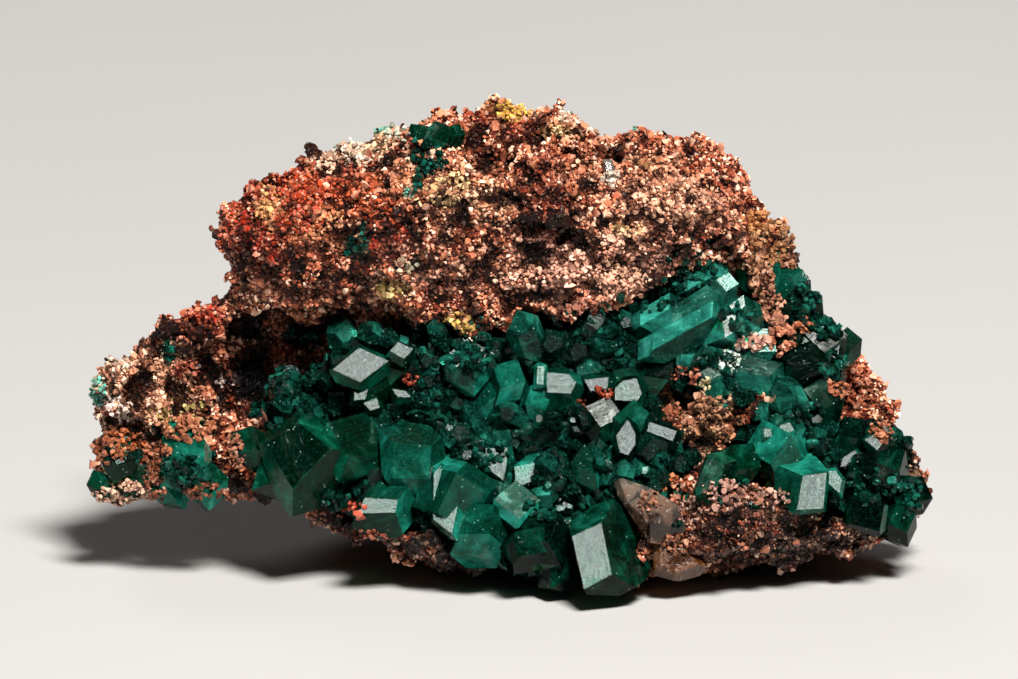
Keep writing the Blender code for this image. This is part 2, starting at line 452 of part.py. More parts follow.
RIGHT_LUMPS = [
    (41.0, 11.8, 0.0, 3.3, 3.9, 6.0), (38.5, 16.8, 2.0, 3.3, 4.1, 6.0),
    (34.3, 22.4, 5.0, 3.3, 5.0, 6.6), (28.6, 28.6, 6.6, 3.6, 5.2, 7.0),
    (26.9, 35.4, 5.0, 3.5, 4.7, 6.6), (32.6, 14.0, 4.0, 6.6, 7.0, 8.0),
    (16.0, 31.0, 5.4, 8.0, 5.6, 8.0),
    (21.0, 18.6, -5.6, 4.4, 4.2, 4.4), (26.4, 21.4, -4.6, 2.2, 2.0, 3.4),
    (42.0, 14.6, -3.6, 1.9, 2.2, 2.6), (26.0, 31.0, -1.0, 1.9, 4.0, 4.0),
    (29.6, 20.0, -6.4, 1.5, 1.5, 2.4), (34.0, 12.0, 0.0, 7.0, 6.0, 8.0),
]
ARM_LUMPS = [
    (-40.6, 14.0, 1.0, 4.3, 4.9, 5.6), (-40.4, 21.6, 1.6, 3.9, 4.3, 5.6),
    (-35.4, 26.8, 2.4, 3.5, 3.8, 5.6), (-31.4, 28.4, 3.0, 3.6, 3.0, 5.6),
    (-34.6, 20.0, 5.6, 6.4, 8.4, 6.0), (-30.0, 15.6, 4.0, 6.6, 6.0, 7.0),
    (-43.0, 23.0, 0.6, 1.5, 1.9, 3.0), (-43.0, 15.4, 0.6, 1.9, 2.3, 3.4),
    (-35.0, 12.0, 0.0, 4.6, 2.7, 5.4), (-36.2, 17.8, -1.6, 2.4, 2.6, 3.6),
]
ROCK_LUMPS = BOULDER_LUMPS + CENTRE_LUMPS + LEDGE_LUMPS + RIGHT_LUMPS + ARM_LUMPS

# Hollows and pits that open to the front, in the same form
ROCK_PITS = [
    (-25.6, 24.4, -2.0, 3.4, 3.2, 9.0), (-37.8, 22.6, -4.0, 1.7, 1.7, 4.4),
    (-13.8, 30.6, -10.0, 1.6, 1.2, 2.4), (-1.6, 46.2, -4.6, 1.7, 1.2, 2.6),
    (21.0, 43.4, -3.6, 1.4, 1.3, 2.6), (8.0, 37.4, -11.6, 1.2, 0.9, 1.6),
    (30.6, 21.6, -7.6, 1.3, 1.7, 4.0), (-20.6, 27.4, -3.0, 4.0, 1.6, 6.0),
]

# Beds of the crust, in the same form, with how many crystals stand on each and their half width
CRUST_BEDS = [
    (-18.6, 20.6, -1.6, 6.0, 3.6, 4.0, 4, 1.6), (-9.6, 21.4, -2.4, 6.6, 4.6, 4.0, 3, 1.7),
    (-1.2, 19.0, -3.0, 7.4, 5.2, 4.2, 4, 1.8), (7.4, 17.4, -4.0, 7.0, 5.0, 4.2, 4, 1.8),
    (13.2, 19.4, -4.2, 4.0, 4.8, 4.0, 2, 1.4), (-23.6, 13.4, -5.0, 4.0, 3.4, 3.6, 1, 1.4),
    (-14.0, 13.8, -6.4, 7.6, 3.6, 3.8, 2, 1.5), (-4.6, 14.0, -7.2, 6.0, 3.8, 3.8, 2, 1.7),
    (3.6, 10.6, -8.4, 6.6, 3.4, 4.0, 2, 1.7), (9.6, 12.4, -7.6, 4.6, 3.4, 3.8, 2, 1.5),
    (-10.2, 9.0, -9.0, 6.0, 2.4, 3.4, 1, 1.3), (-2.4, 6.6, -10.6, 5.4, 2.8, 3.4, 1, 1.4),
    (5.4, 5.4, -11.4, 5.4, 3.0, 3.6, 1, 1.3), (27.6, 18.6, -4.8, 4.0, 2.8, 3.4, 2, 1.3),
    (30.4, 16.0, -6.4, 5.0, 3.6, 3.6, 2, 1.4), (36.4, 15.0, -3.6, 4.2, 3.0, 3.6, 2, 1.3),
    (37.6, 10.6, -5.0, 4.0, 2.8, 3.6, 2, 1.3), (33.0, 12.4, -7.4, 4.0, 3.4, 3.6, 1, 1.3),
    (20.6, 25.6, -1.8, 6.0, 3.8, 3.8, 1, 1.4), (29.6, 24.8, -0.4, 4.8, 4.0, 4.0, 2, 1.4),
    (29.2, 30.8, 3.6, 2.6, 3.8, 4.0, 2, 1.3), (22.4, 22.4, -3.6, 4.4, 2.4, 3.6, 2, 1.3),
    (15.4, 14.6, -7.4, 3.4, 3.4, 3.8, 1, 1.3), (-13.4, 25.6, -3.0, 5.0, 2.8, 4.0, 3, 1.1),
    (-5.0, 25.2, -3.4, 6.0, 3.0, 4.0, 3, 1.1), (3.2, 25.4, -3.4, 5.0, 3.0, 4.0, 3, 1.1),
    (10.4, 26.2, -2.4, 5.4, 3.2, 4.0, 4, 1.2), (16.0, 31.4, 0.4, 5.0, 3.4, 4.0, 1, 1.1),
]
CRUST_SEED = 11
CRUST_SPREAD = 0.42               # the crust's crystals differ in size by this share
CRUST_REACH = (0.02, 0.86)        # where on a bed, as squared shares of its half widths, they stand
CRUST_SINK = 0.3                  # share of a crystal's half width that its centre lies under the bed
CRUST_LENGTHS = (1.35, 1.75)      # their half lengths, as shares of their half widths
CRUST_WIDTHS = (0.8, 1.2)
CRUST_PANS = (-45, 45)
CRUST_TILTS = (-25, 55)
CRUST_ROLLS = (20, 160)


def lump_mesh(target, lump, fineness=3):
    """Add one ellipsoid to a bmesh, in drawing-frame millimetres."""
    x, v, y, half_width, half_height, half_depth = lump[:6]
    size = Matrix.Diagonal((half_width, half_depth, half_height, 1.0))
    place = Matrix.Translation((x, y, v)) @ size
    bmesh.ops.create_icosphere(target, subdivisions=fineness, radius=1.0, matrix=place)


def lumps_object(name, lumps, collection):
    """All the lumps as one mesh object in drawing-frame millimetres."""
    gathered = bmesh.new()
    for lump in lumps:
        lump_mesh(gathered, lump)
    return object_from_bmesh(name, gathered, collection)


def evaluated_bmesh(obj):
    """The mesh that an object's modifiers give, as a bmesh."""
    graph = bpy.context.evaluated_depsgraph_get()
    mesh = bpy.data.meshes.new_from_object(obj.evaluated_get(graph))
    result = bmesh.new()
    result.from_mesh(mesh)
    bpy.data.meshes.remove(mesh)
    return result


def apply_modifiers(obj):
    """Replace an object's mesh by what its modifiers give."""
    result = evaluated_bmesh(obj)
    obj.modifiers.clear()
    result.to_mesh(obj.data)
    result.free()


def fuse_lumps(obj, voxel):
    """Melt overlapping lumps into one skin."""
    melt = obj.modifiers.new("melt", "REMESH")
    melt.mode = "VOXEL"
    melt.voxel_size = voxel
    apply_modifiers(obj)


def roughen(obj, steps, seed):
    """Push each point along its normal by layers of noise: (grain size, height) in millimetres."""
    skin = bmesh.new()
    skin.from_mesh(obj.data)
    skin.normal_update()
    moves = []
    for vertex in skin.verts:
        push = 0.0
        for grain, height in steps:
            offset = Vector((seed * 3.7 + grain, seed * 1.9, seed * 5.3))
            push += height * noise.noise(vertex.co / grain + offset)
        moves.append(vertex.normal * push)
    for vertex, move in zip(skin.verts, moves):
        vertex.co += move
    skin.to_mesh(obj.data)
    skin.free()


def swell(obj, height):
    """Move every point of a mesh out along its normal."""
    skin = bmesh.new()
    skin.from_mesh(obj.data)
    skin.normal_update()
    moves = [vertex.normal * height for vertex in skin.verts]
    for vertex, move in zip(skin.verts, moves):
        vertex.co += move
    skin.to_mesh(obj.data)
    skin.free()


def thin_out(obj, triangles):
    """Reduce a mesh to about this many triangles."""
    skin = bmesh.new()
    skin.from_mesh(obj.data)
    bmesh.ops.triangulate(skin, faces=skin.faces[:])
    count = len(skin.faces)
    skin.to_mesh(obj.data)
    skin.free()
    fewer = obj.modifiers.new("fewer", "DECIMATE")
    fewer.ratio = triangles / count
    apply_modifiers(obj)


def stand(obj):
    """Move a mesh from drawing-frame millimetres to the standing frame."""
    obj.data.transform(standing_matrix())


def combine(obj, others, operation):
    """Join others to, or cut them from, an object with an exact Boolean."""
    for other in others:
        step = obj.modifiers.new("combine", "BOOLEAN")
        step.operation = operation
        step.solver = "EXACT"
        step.object = other
        apply_modifiers(obj)


def keep_largest(obj):
    """Drop loose chips, so that one closed body is left, and merge the pieces of each flat face."""
    skin = bmesh.new()
    skin.from_mesh(obj.data)
    bmesh.ops.remove_doubles(skin, verts=skin.verts[:], dist=MERGE)
    bmesh.ops.dissolve_limit(skin, angle_limit=BODY_FLAT, verts=skin.verts[:], edges=skin.edges[:])
    skin.verts.ensure_lookup_table()
    seen_verts = set()
    islands = []
    for start in skin.verts:
        if start.index in seen_verts:
            continue
        island = []
        front = [start]
        seen_verts.add(start.index)
        while front:
            vertex = front.pop()
            island.append(vertex)
            for edge in vertex.link_edges:
                other = edge.other_vert(vertex)
                if other.index not in seen_verts:
                    seen_verts.add(other.index)
                    front.append(other)
        islands.append(island)
    islands.sort(key=len, reverse=True)
    for island in islands[1:]:
        bmesh.ops.delete(skin, geom=island, context="VERTS")
    bmesh.ops.triangulate(skin, faces=skin.faces[:])
    skin.to_mesh(obj.data)
    skin.free()


def bounds_of(obj):
    """Lowest and highest corner of an object's mesh."""
    points = [vertex.co for vertex in obj.data.vertices]
    low = Vector([min(point[axis] for point in points) for axis in range(3)])
    high = Vector([max(point[axis] for point in points) for axis in range(3)])
    return low, high


def boxes_meet(first, second, room=BOX_ROOM):
    """Whether two objects' boxes come closer than room."""
    low_a, high_a = bounds_of(first)
    low_b, high_b = bounds_of(second)
    return all(low_a[axis] - room < high_b[axis] and low_b[axis] - room < high_a[axis]
               for axis in range(3))


def surfaces_meet(first, second):
    """Whether two objects' surfaces cross."""
    trees = []
    for obj in (first, second):
        corners = [vertex.co for vertex in obj.data.vertices]
        trees.append(BVHTree.FromPolygons(corners, [face.vertices[:] for face in obj.data.polygons]))
    return bool(trees[0].overlap(trees[1]))


def as_cutter(obj):
    """Show a helper as wire only."""
    obj.hide_render = True
    obj.display_type = "WIRE"
    return obj


def union_of(name, crystals, collection, grow=0.0):
    """Grow-through crystals as one solid."""
    pieces = [planes_solid(f"{name}_{index}", planes, collection, grow)
              for index, planes in enumerate(crystals)]
    whole = pieces[0]
    for piece in pieces[1:]:
        combine(whole, [piece], "UNION")
        bpy.data.objects.remove(piece, do_unlink=True)
    whole.name = name
    return whole


def crust_crystals(random_source):
    """Planes of the small crystals that stand on the beds."""
    crystals = []
    for bed in CRUST_BEDS:
        x, v, y, half_width, half_height, half_depth, count, radius = bed
        for _ in range(count):
            around = random_source.uniform(0.0, 2.0 * math.pi)
            out = math.sqrt(random_source.uniform(*CRUST_REACH))
            side = out * math.cos(around)
            up = out * math.sin(around)
            front = math.sqrt(1.0 - out * out)
            size = radius * (1.0 + CRUST_SPREAD * random_source.uniform(-1.0, 1.0))
            crystals.append(grown_crystal(
                x + side * half_width, v + up * half_height,
                y - front * half_depth + CRUST_SINK * size,
                size, size * random_source.uniform(*CRUST_LENGTHS),
                kind=random_source.choice(("rhomb", "rhomb", "prism")),
                pan=random_source.uniform(*CRUST_PANS), tilt=random_source.uniform(*CRUST_TILTS),
                roll=random_source.uniform(*CRUST_ROLLS),
                widths=tuple(random_source.uniform(*CRUST_WIDTHS) for _ in range(3))))
    return crystals


def main():
    """Build the specimen."""
    clear_scene()
    parts = new_collection(OBJECT_NAME)
    cutters = new_collection("cutters")
    rock_finish = make_material("reddish_rock", (0.36, 0.15, 0.09), 0.9)
    crust_finish = make_material("small_green_crystals", TEAL_GREEN, 0.3)
    crystal_finish = make_material("dark_green_crystal", DEEP_GREEN, 0.15)
    clear_finish = make_material("pale_brown_clear_mineral", (0.42, 0.34, 0.28), 0.35)

    made = []
    spreads = []
    groups = dict(CRYSTAL_GROUPS)
    groups["clear_brown_wedge"] = CLEAR_WEDGE
    groups["pale_shard"] = PALE_SHARD
    for name, crystals in groups.items():
        group = union_of(name, crystals, parts)
        for spread in spreads:
            if boxes_meet(group, spread):
                combine(group, [spread], "DIFFERENCE")
        keep_largest(group)
        pale = name in ("clear_brown_wedge", "pale_shard")
        group.data.materials.append(clear_finish if pale else crystal_finish)
        made.append(group)
        spreads.append(as_cutter(union_of(f"{name}_room", crystals, cutters, GAP)))

    crust = lumps_object("vug_crust", CRUST_BEDS, parts)
    fuse_lumps(crust, LINING_VOXEL)
    thin_out(crust, LINING_TRIANGLES)
    lining_room = as_cutter(bpy.data.objects.new("lining_room", crust.data.copy()))
    cutters.objects.link(lining_room)
    swell(lining_room, LINING_ROOM)
    stand(lining_room)
    stand(crust)
    small = crust_crystals(random.Random(CRUST_SEED))
    for planes in small:
        crystal = planes_solid("small_crystal", planes, cutters)
        combine(crust, [crystal], "UNION")
        bpy.data.objects.remove(crystal, do_unlink=True)
    for spread in spreads:
        if boxes_meet(crust, spread):
            combine(crust, [spread], "DIFFERENCE")
    thin_out(crust, CRUST_TRIANGLES)
    keep_largest(crust)
    crust.data.materials.append(crust_finish)

    rock = lumps_object("matrix_rock", ROCK_LUMPS, parts)
    fuse_lumps(rock, ROCK_VOXEL)
    roughen(rock, ROCK_RELIEF, ROCK_SEED)
    thin_out(rock, ROCK_TRIANGLES)
    stand(rock)
    for spread in spreads:
        if boxes_meet(rock, spread):
            combine(rock, [spread], "DIFFERENCE")
    combine(rock, [lining_room], "DIFFERENCE")
    for planes in small:
        crystal_room = as_cutter(planes_solid("small_crystal_room", planes, cutters, ROCK_GAP))
        if boxes_meet(rock, crystal_room) and surfaces_meet(rock, crystal_room):
            combine(rock, [crystal_room], "DIFFERENCE")
    for pit in ROCK_PITS:
        hollow = bmesh.new()
        lump_mesh(hollow, pit, fineness=1)
        pit_cutter = as_cutter(object_from_bmesh("pit", hollow, cutters))
        stand(pit_cutter)
        combine(rock, [pit_cutter], "DIFFERENCE")
    thin_out(rock, CUT_ROCK_TRIANGLES)
    ground = bmesh.new()
    bmesh.ops.create_cube(ground, size=GROUND_BLOCK,
                          matrix=Matrix.Translation((0.0, 0.0, -0.5 * GROUND_BLOCK)))
    ground_cutter = as_cutter(object_from_bmesh("ground_cutter", ground, cutters))
    combine(rock, [ground_cutter], "DIFFERENCE")
    keep_largest(rock)
    rock.data.materials.append(rock_finish)


if __name__ == "__main__":
    main()
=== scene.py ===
"""The looks of a dioptase specimen: green crystals in a hollow of crumbly red-brown rock."""

import logging
import math
from collections.abc import Iterator
from contextlib import contextmanager
from dataclasses import dataclass
from enum import Enum

import bpy
import numpy as np
from mathutils import Matrix, Vector
from mathutils.bvhtree import BVHTree
from mathutils.kdtree import KDTree
from mathutils.noise import noise


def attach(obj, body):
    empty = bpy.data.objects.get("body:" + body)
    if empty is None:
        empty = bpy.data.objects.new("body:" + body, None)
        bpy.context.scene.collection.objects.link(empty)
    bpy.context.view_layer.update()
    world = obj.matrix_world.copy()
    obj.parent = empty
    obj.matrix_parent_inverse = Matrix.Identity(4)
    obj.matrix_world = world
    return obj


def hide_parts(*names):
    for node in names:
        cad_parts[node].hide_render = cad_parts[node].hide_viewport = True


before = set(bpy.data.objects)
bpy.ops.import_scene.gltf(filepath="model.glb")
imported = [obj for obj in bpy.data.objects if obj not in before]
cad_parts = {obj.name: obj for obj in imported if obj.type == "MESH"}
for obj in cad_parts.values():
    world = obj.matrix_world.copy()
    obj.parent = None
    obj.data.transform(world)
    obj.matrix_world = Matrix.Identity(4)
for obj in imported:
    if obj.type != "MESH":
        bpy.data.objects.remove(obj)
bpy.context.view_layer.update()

log = logging.getLogger("specimen")

Colour = tuple[float, float, float]
Rows = np.ndarray
Piece = bpy.types.Object
Material = bpy.types.Material
Socket = bpy.types.NodeSocket

MM = 0.001
FULL_TURN = 2.0 * math.pi
VIEW_FALL = math.radians(14.0)
FALL = math.sin(VIEW_FALL)
LEVEL = math.cos(VIEW_FALL)
REST_DROP = 3.4
BACK_SHIFT = 4.4
EYE_REACH = 60.0
PHOTO_WIDTH = 105.872
CAMERA_DISTANCE = 2.0
CAMERA_AIM = Vector((0.0, -0.0027, 0.0241))
LAMP_AIM = Vector((0.0, 0.0, 0.022))
SENSOR = 36.0
MERGE = 0.000002
HOLLOW_SHARES = (12.0, 72.0)
GRAIN_SHARE = 0.84
SEAT_RISE = 2.2
NOTHING = 1e-12
GLANCE = (0.22, 0.235, 0.225)
UP = Vector((0.0, 0.0, 1.0))
EYE_WAY = Vector((0.0, -LEVEL, FALL))
SIGHT_WAYS = (EYE_WAY, Vector((0.75, -0.45, 0.45)), Vector((-0.75, -0.45, 0.45)),
              Vector((0.0, 0.5, 0.86)), Vector((0.0, -0.7, -0.7)))
STEPS = [(x, y, z) for x in (-1, 0, 1) for y in (-1, 0, 1) for z in (-1, 0, 1)]
RAGGED = ((0.42, 1.9, 3.1), (0.30, 0.7, 7.7))


def seen(x: float, v: float, y: float) -> Vector:
    """The point in metres that the eye sees x mm to the right, v mm up and y mm away."""
    return MM * Vector((x, y * LEVEL + v * FALL - BACK_SHIFT, v * LEVEL - y * FALL - REST_DROP))


def as_seen(points: Rows) -> Rows:
    """Rows of x, v and y in millimetres, as the eye sees them, for rows of points in metres."""
    x, back, up = (points / MM + (0.0, BACK_SHIFT, REST_DROP)).T
    return np.stack([x, back * FALL + up * LEVEL, back * LEVEL - up * FALL], axis=1)


def colour(code: str) -> Colour:
    """The linear colour, from 0 to 1, of a hex code such as a8694f."""
    shares = [int(code[start:start + 2], 16) / 255.0 for start in (0, 2, 4)]
    return tuple(share / 12.92 if share <= 0.04045 else ((share + 0.055) / 1.055) ** 2.4
                 for share in shares)


def fade(value: float, start: float, width: float) -> float:
    """How far a value has come from a start on its way across a width, from 0 to 1."""
    return min(1.0, max(0.0, (value - start) / width))


def way(rise: float, turn: float = 0.0) -> Vector:
    """The direction so many degrees above the level and to the right of the front."""
    high, side = math.radians(rise), math.radians(turn)
    return Vector((math.sin(side) * math.cos(high), -math.cos(side) * math.cos(high), math.sin(high)))


def spun(lean: Vector, spin: float) -> tuple[float, ...]:
    """The angles of a shape that leans one way and is turned about its own length."""
    return (lean.to_track_quat("Z", "Y") @ Matrix.Rotation(spin, 3, "Z").to_quaternion()).to_euler()[:]


def add_object(name: str, data: bpy.types.ID) -> Piece:
    """Put a new object into the scene.

    Args:
        name: The object's name.
        data: Its mesh, light or camera.

    Returns:
        The object, at the origin.
    """
    added = bpy.data.objects.new(name, data)
    bpy.context.scene.collection.objects.link(added)
    return added


def select_only(piece: Piece) -> None:
    """Make one object the selected and active one.

    Args:
        piece: The object to work on.
    """
    bpy.ops.object.select_all(action="DESELECT")
    piece.select_set(True)
    bpy.context.view_layer.objects.active = piece


@contextmanager
def all_of(piece: Piece) -> Iterator[None]:
    """Open a piece alone in edit mode, with everything in it selected.

    Args:
        piece: The object to work on.

    Returns:
        A block to work in. The piece is closed again after it.
    """
    select_only(piece)
    bpy.ops.object.mode_set(mode="EDIT")
    bpy.ops.mesh.select_all(action="SELECT")
    yield
    bpy.ops.object.mode_set(mode="OBJECT")


def modify(piece: Piece, kind: str, **settings: object) -> None:
    """Put a modifier on a piece.

    Args:
        piece: The object to work on.
        kind: The modifier's type.
        **settings: Its settings by name.
    """
    modifier = piece.modifiers.new(kind.lower(), kind)
    for name, value in settings.items():
        setattr(modifier, name, value)


def apply_modifiers(piece: Piece) -> None:
    """Apply all modifiers of an object.

    Args:
        piece: The object whose mesh takes on its modifiers.
    """
    select_only(piece)
    for modifier in list(piece.modifiers):
        bpy.ops.object.modifier_apply(modifier=modifier.name)


def copy_of_node(node: str, name: str) -> Piece:
    """A copy of a solid of the frame, with its loose triangles merged into one skin.

    Args:
        node: The solid's name.
        name: The copy's name.

    Returns:
        The new object, at the origin.
    """
    copy = add_object(name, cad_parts[node].data.copy())
    copy.data.materials.clear()
    with all_of(copy):
        bpy.ops.mesh.remove_doubles(threshold=MERGE)
        bpy.ops.mesh.normals_make_consistent(inside=False)
    if copy.data.has_custom_normals:
        bpy.ops.mesh.customdata_custom_splitnormals_clear()
    return copy


def corner_rows(piece: Piece, value: str = "co") -> Rows:
    """The points of a mesh, or their normals, as rows.

    Args:
        piece: A mesh object.
        value: Which of them: co or normal.

    Returns:
        One row of three numbers for each point.
    """
    flat = np.zeros(len(piece.data.vertices) * 3)
    piece.data.vertices.foreach_get(value, flat)
    return flat.reshape(-1, 3)


def move_corners(piece: Piece, points: Rows) -> None:
    """Move the points of a mesh to new places."""
    piece.data.vertices.foreach_set("co", points.ravel())
    piece.data.update()


class Kept(Enum):
    """The kinds of value that a mesh keeps for each of its points, and where they are put."""

    FLOAT = "value"
    FLOAT_VECTOR = "vector"
    FLOAT_COLOR = "color"


def store_numbers(piece: Piece, name: str, values: Rows, kind: Kept = Kept.FLOAT) -> None:
    """Keep a value for each point of a mesh."""
    attribute = piece.data.attributes.new(name, kind.name, "POINT")
    attribute.data.foreach_set(kind.value, values.astype(np.float32).ravel())


def tree_of(pieces: list[Piece]) -> BVHTree:
    """The skins of some pieces in a form that rays and near points are found in.

    Args:
        pieces: The mesh objects.

    Returns:
        One tree of all their faces.
    """
    corners: list[tuple[float, ...]] = []
    faces: list[tuple[int, ...]] = []
    for piece in pieces:
        start = len(corners)
        corners += [vertex.co[:] for vertex in piece.data.vertices]
        faces += [tuple(start + index for index in face.vertices) for face in piece.data.polygons]
    return BVHTree.FromPolygons(corners, faces)


def finish_piece(obj: Piece, material: Material) -> None:
    """Give a finished piece its material and its body.

    Args:
        obj: The piece.
        material: What it is made of.
    """
    obj.data.materials.clear()
    obj.data.materials.append(material)
    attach(obj, "root")
    log.info("%s: %d faces", obj.name, len(obj.data.polygons))


class Recipe:
    """A material's sheet of nodes, with short calls for what the finishes share."""

    def __init__(self, name: str) -> None:
        """Start an empty sheet.

        Args:
            name: The material's name.
        """
        self.material = bpy.data.materials.new(name)
        self.material.use_nodes = True
        self.tree = self.material.node_tree
        self.tree.nodes.clear()
        self.output = self.tree.nodes.new("ShaderNodeOutputMaterial")
        self.place = self.tree.nodes.new("ShaderNodeTexCoord").outputs["Object"]

    def node(self, kind: str, inputs: dict[str | int, object], **settings: str) -> bpy.types.Node:
        """Add a node.

        Args:
            kind: The node's type, without its first words.
            inputs: A plain value or an output socket for each input that is set.
            **settings: Its options by name.

        Returns:
            The node.
        """
        node = self.tree.nodes.new(f"ShaderNode{kind}")
        for name, option in settings.items():
            setattr(node, name, option)
        for name, source in inputs.items():
            socket = node.inputs[name]
            if isinstance(source, Socket):
                self.tree.links.new(source, socket)
            else:
                socket.default_value = (*source, 1.0) if socket.type == "RGBA" else source
        return node

    def attribute(self, name: str, output: str = "Fac") -> Socket:
        """A value kept on the mesh, as a number (Fac), a colour (Color) or a share (Alpha)."""
        return self.node("Attribute", {}, attribute_name=name).outputs[output]

    def uv(self) -> Socket:
        """The place on a crystal's face, in millimetres along and across its longest edge."""
        return self.node("UVMap", {}).outputs["UV"]

    def height(self) -> Socket:
        """How high a place lies, in metres."""
        return self.node("SeparateXYZ", {"Vector": self.place}).outputs["Z"]

    def stretch(self, place: Socket, scale: Colour) -> Socket:
        """A place with each of its axes scaled."""
        return self.node("Mapping", {"Vector": place, "Scale": scale}).outputs["Vector"]

    def cloud(self, place: Socket, scale: float, detail: float, roughness: float,
              distortion: float = 0.0) -> Socket:
        """Soft noise from 0 to 1, with so many lumps for each unit of place."""
        return self.node("TexNoise", {"Vector": place, "Scale": scale, "Detail": detail,
                                      "Roughness": roughness, "Distortion": distortion}).outputs["Fac"]

    def cells(self, scale: float, feature: str = "F1", output: str = "Distance") -> Socket:
        """Cells like packed grains, so many to a metre."""
        inputs = {"Vector": self.place, "Scale": scale}
        return self.node("TexVoronoi", inputs, feature=feature).outputs[output]

    def span(self, value: Socket, low: float, high: float, start: float = 0.0,
             end: float = 1.0) -> Socket:
        """A value taken softly from low and high to start and end, and held there."""
        inputs = {"Value": value, "From Min": low, "From Max": high, "To Min": start, "To Max": end}
        return self.node("MapRange", inputs, interpolation_type="SMOOTHSTEP").outputs["Result"]

    def sum(self, operation: str, first: object, second: object) -> Socket:
        """Two values put together by ADD, SUBTRACT, MULTIPLY or SNAP."""
        return self.node("Math", {0: first, 1: second}, operation=operation).outputs[0]

    def blend(self, first: Socket, first_share: float, second: Socket, second_share: float) -> Socket:
        """Two values added, each by its own share."""
        return self.sum("ADD", self.sum("MULTIPLY", first, first_share),
                        self.sum("MULTIPLY", second, second_share))

    def mix(self, share: object, first: object, second: object, mode: str = "MIX") -> Socket:
        """The second colour laid over the first, by MIX or MULTIPLY."""
        inputs = {"Factor": share, 6: first, 7: second}
        return self.node("Mix", inputs, data_type="RGBA", blend_type=mode).outputs[2]

    def ramp(self, share: Socket, *stops: tuple[float, Colour]) -> Socket:
        """Colours along a value.

        Args:
            share: The value, from 0 to 1.
            *stops: Places along it and their colours.

        Returns:
            The colour.
        """
        node = self.node("ValToRGB", {"Fac": share})
        for _ in stops[2:]:
            node.color_ramp.elements.new(0.5)
        for element, (position, shade) in zip(node.color_ramp.elements, stops):
            element.position = position
            element.color = (*shade, 1.0)
        return node.outputs["Color"]

    def dim(self, below: Socket, share: Socket, *stops: tuple[float, Colour]) -> Socket:
        """A colour multiplied by the colours along a value."""
        return self.mix(1.0, below, self.ramp(share, *stops), "MULTIPLY")

    def bump(self, height: Socket, strength: float, distance: float, **below: Socket) -> Socket:
        """Relief too fine for the mesh, on the Normal of another relief where that is given."""
        inputs = {"Height": height, "Strength": strength, "Distance": distance, **below}
        return self.node("Bump", inputs).outputs["Normal"]

    def surface(self, **values: object) -> None:
        """Join the surface shader to the output, with its inputs by name and _ for blanks."""
        shader = self.node("BsdfPrincipled", {name.replace("_", " "): values[name] for name in values})
        self.tree.links.new(shader.outputs["BSDF"], self.output.inputs["Surface"])

    def inside(self, shade: Colour, density: float) -> None:
        """Let only the shade through inside the piece; the rest goes at the density, for a metre."""
        loss = self.node("VolumeAbsorption", {"Color": shade, "Density": density})
        self.tree.links.new(loss.outputs["Volume"], self.output.inputs["Volume"])


@dataclass(frozen=True)
class RockFinish:
    """Crumbly iron-stained rock. Kept values on the mesh bring its stains and a few patches of painted
    shade, and its hollow value paints shade into the hollows and light onto the lumps.
    """

    name: str
    shadow: Colour
    rust: Colour
    salmon: Colour
    cream: Colour
    grain: float
    gloss: float
    by_grain: bool = False

    def make(self) -> Material:
        """Mix the rock's material.

        Returns:
            The material.
        """
        sheet = Recipe(self.name)
        broad = sheet.cloud(sheet.place, 170.0, 4.0, 0.62)
        speckle = sheet.cloud(sheet.place, 3600.0, 2.0, 0.7)
        tone = (sheet.attribute("tone") if self.by_grain
                else sheet.cells(1.0 / self.grain, output="Color"))
        shade = sheet.blend(tone, 0.60, broad, 0.40)
        body = sheet.ramp(shade, (0.24, self.shadow), (0.42, self.rust), (0.60, self.salmon),
                          (0.80, self.cream))
        # The kept colour holds the rock's stains and a few patches of painted shade.
        stain = sheet.dim(sheet.attribute("stain", "Color"), shade, (0.24, (0.06, 0.05, 0.05)),
                          (0.50, (0.45, 0.42, 0.40)), (0.80, (1.0, 1.0, 1.0)))
        stained_and_shaded = sheet.mix(sheet.attribute("stain", "Alpha"), body, stain)
        # Painted shade and light: the hollow value darkens the colour nearly to black in the hollows and
        # lifts it above its own colour on the proudest lumps.
        deep = sheet.dim(stained_and_shaded, sheet.attribute("hollow"), (0.0, (0.04, 0.02, 0.013)),
                         (0.4, (0.28, 0.205, 0.17)), (0.8, (0.94, 0.92, 0.90)),
                         (1.0, (1.15, 1.12, 1.10)))
        surface_colour = sheet.mix(sheet.span(speckle, 0.60, 0.74, 0.0, 0.35), deep, self.cream)
        rough = sheet.span(tone, 0.1, 0.9, 0.75, self.gloss)
        relief = sheet.bump(speckle, 0.6, 0.00008)
        if not self.by_grain:
            # Painted shade along the gaps between the rock's grains; the same gaps also bump its surface.
            shaded_gaps = sheet.span(sheet.cells(1.0 / self.grain, "DISTANCE_TO_EDGE"), 0.0, 0.16)
            surface_colour = sheet.dim(surface_colour, shaded_gaps, (0.0, (0.16, 0.11, 0.09)), (1.0, (1.0, 1.0, 1.0)))
            relief = sheet.bump(shaded_gaps, 0.8, 0.00018, Normal=relief)
        sheet.surface(Base_Color=surface_colour, Roughness=rough, IOR=1.54, Normal=relief)
        return sheet.material


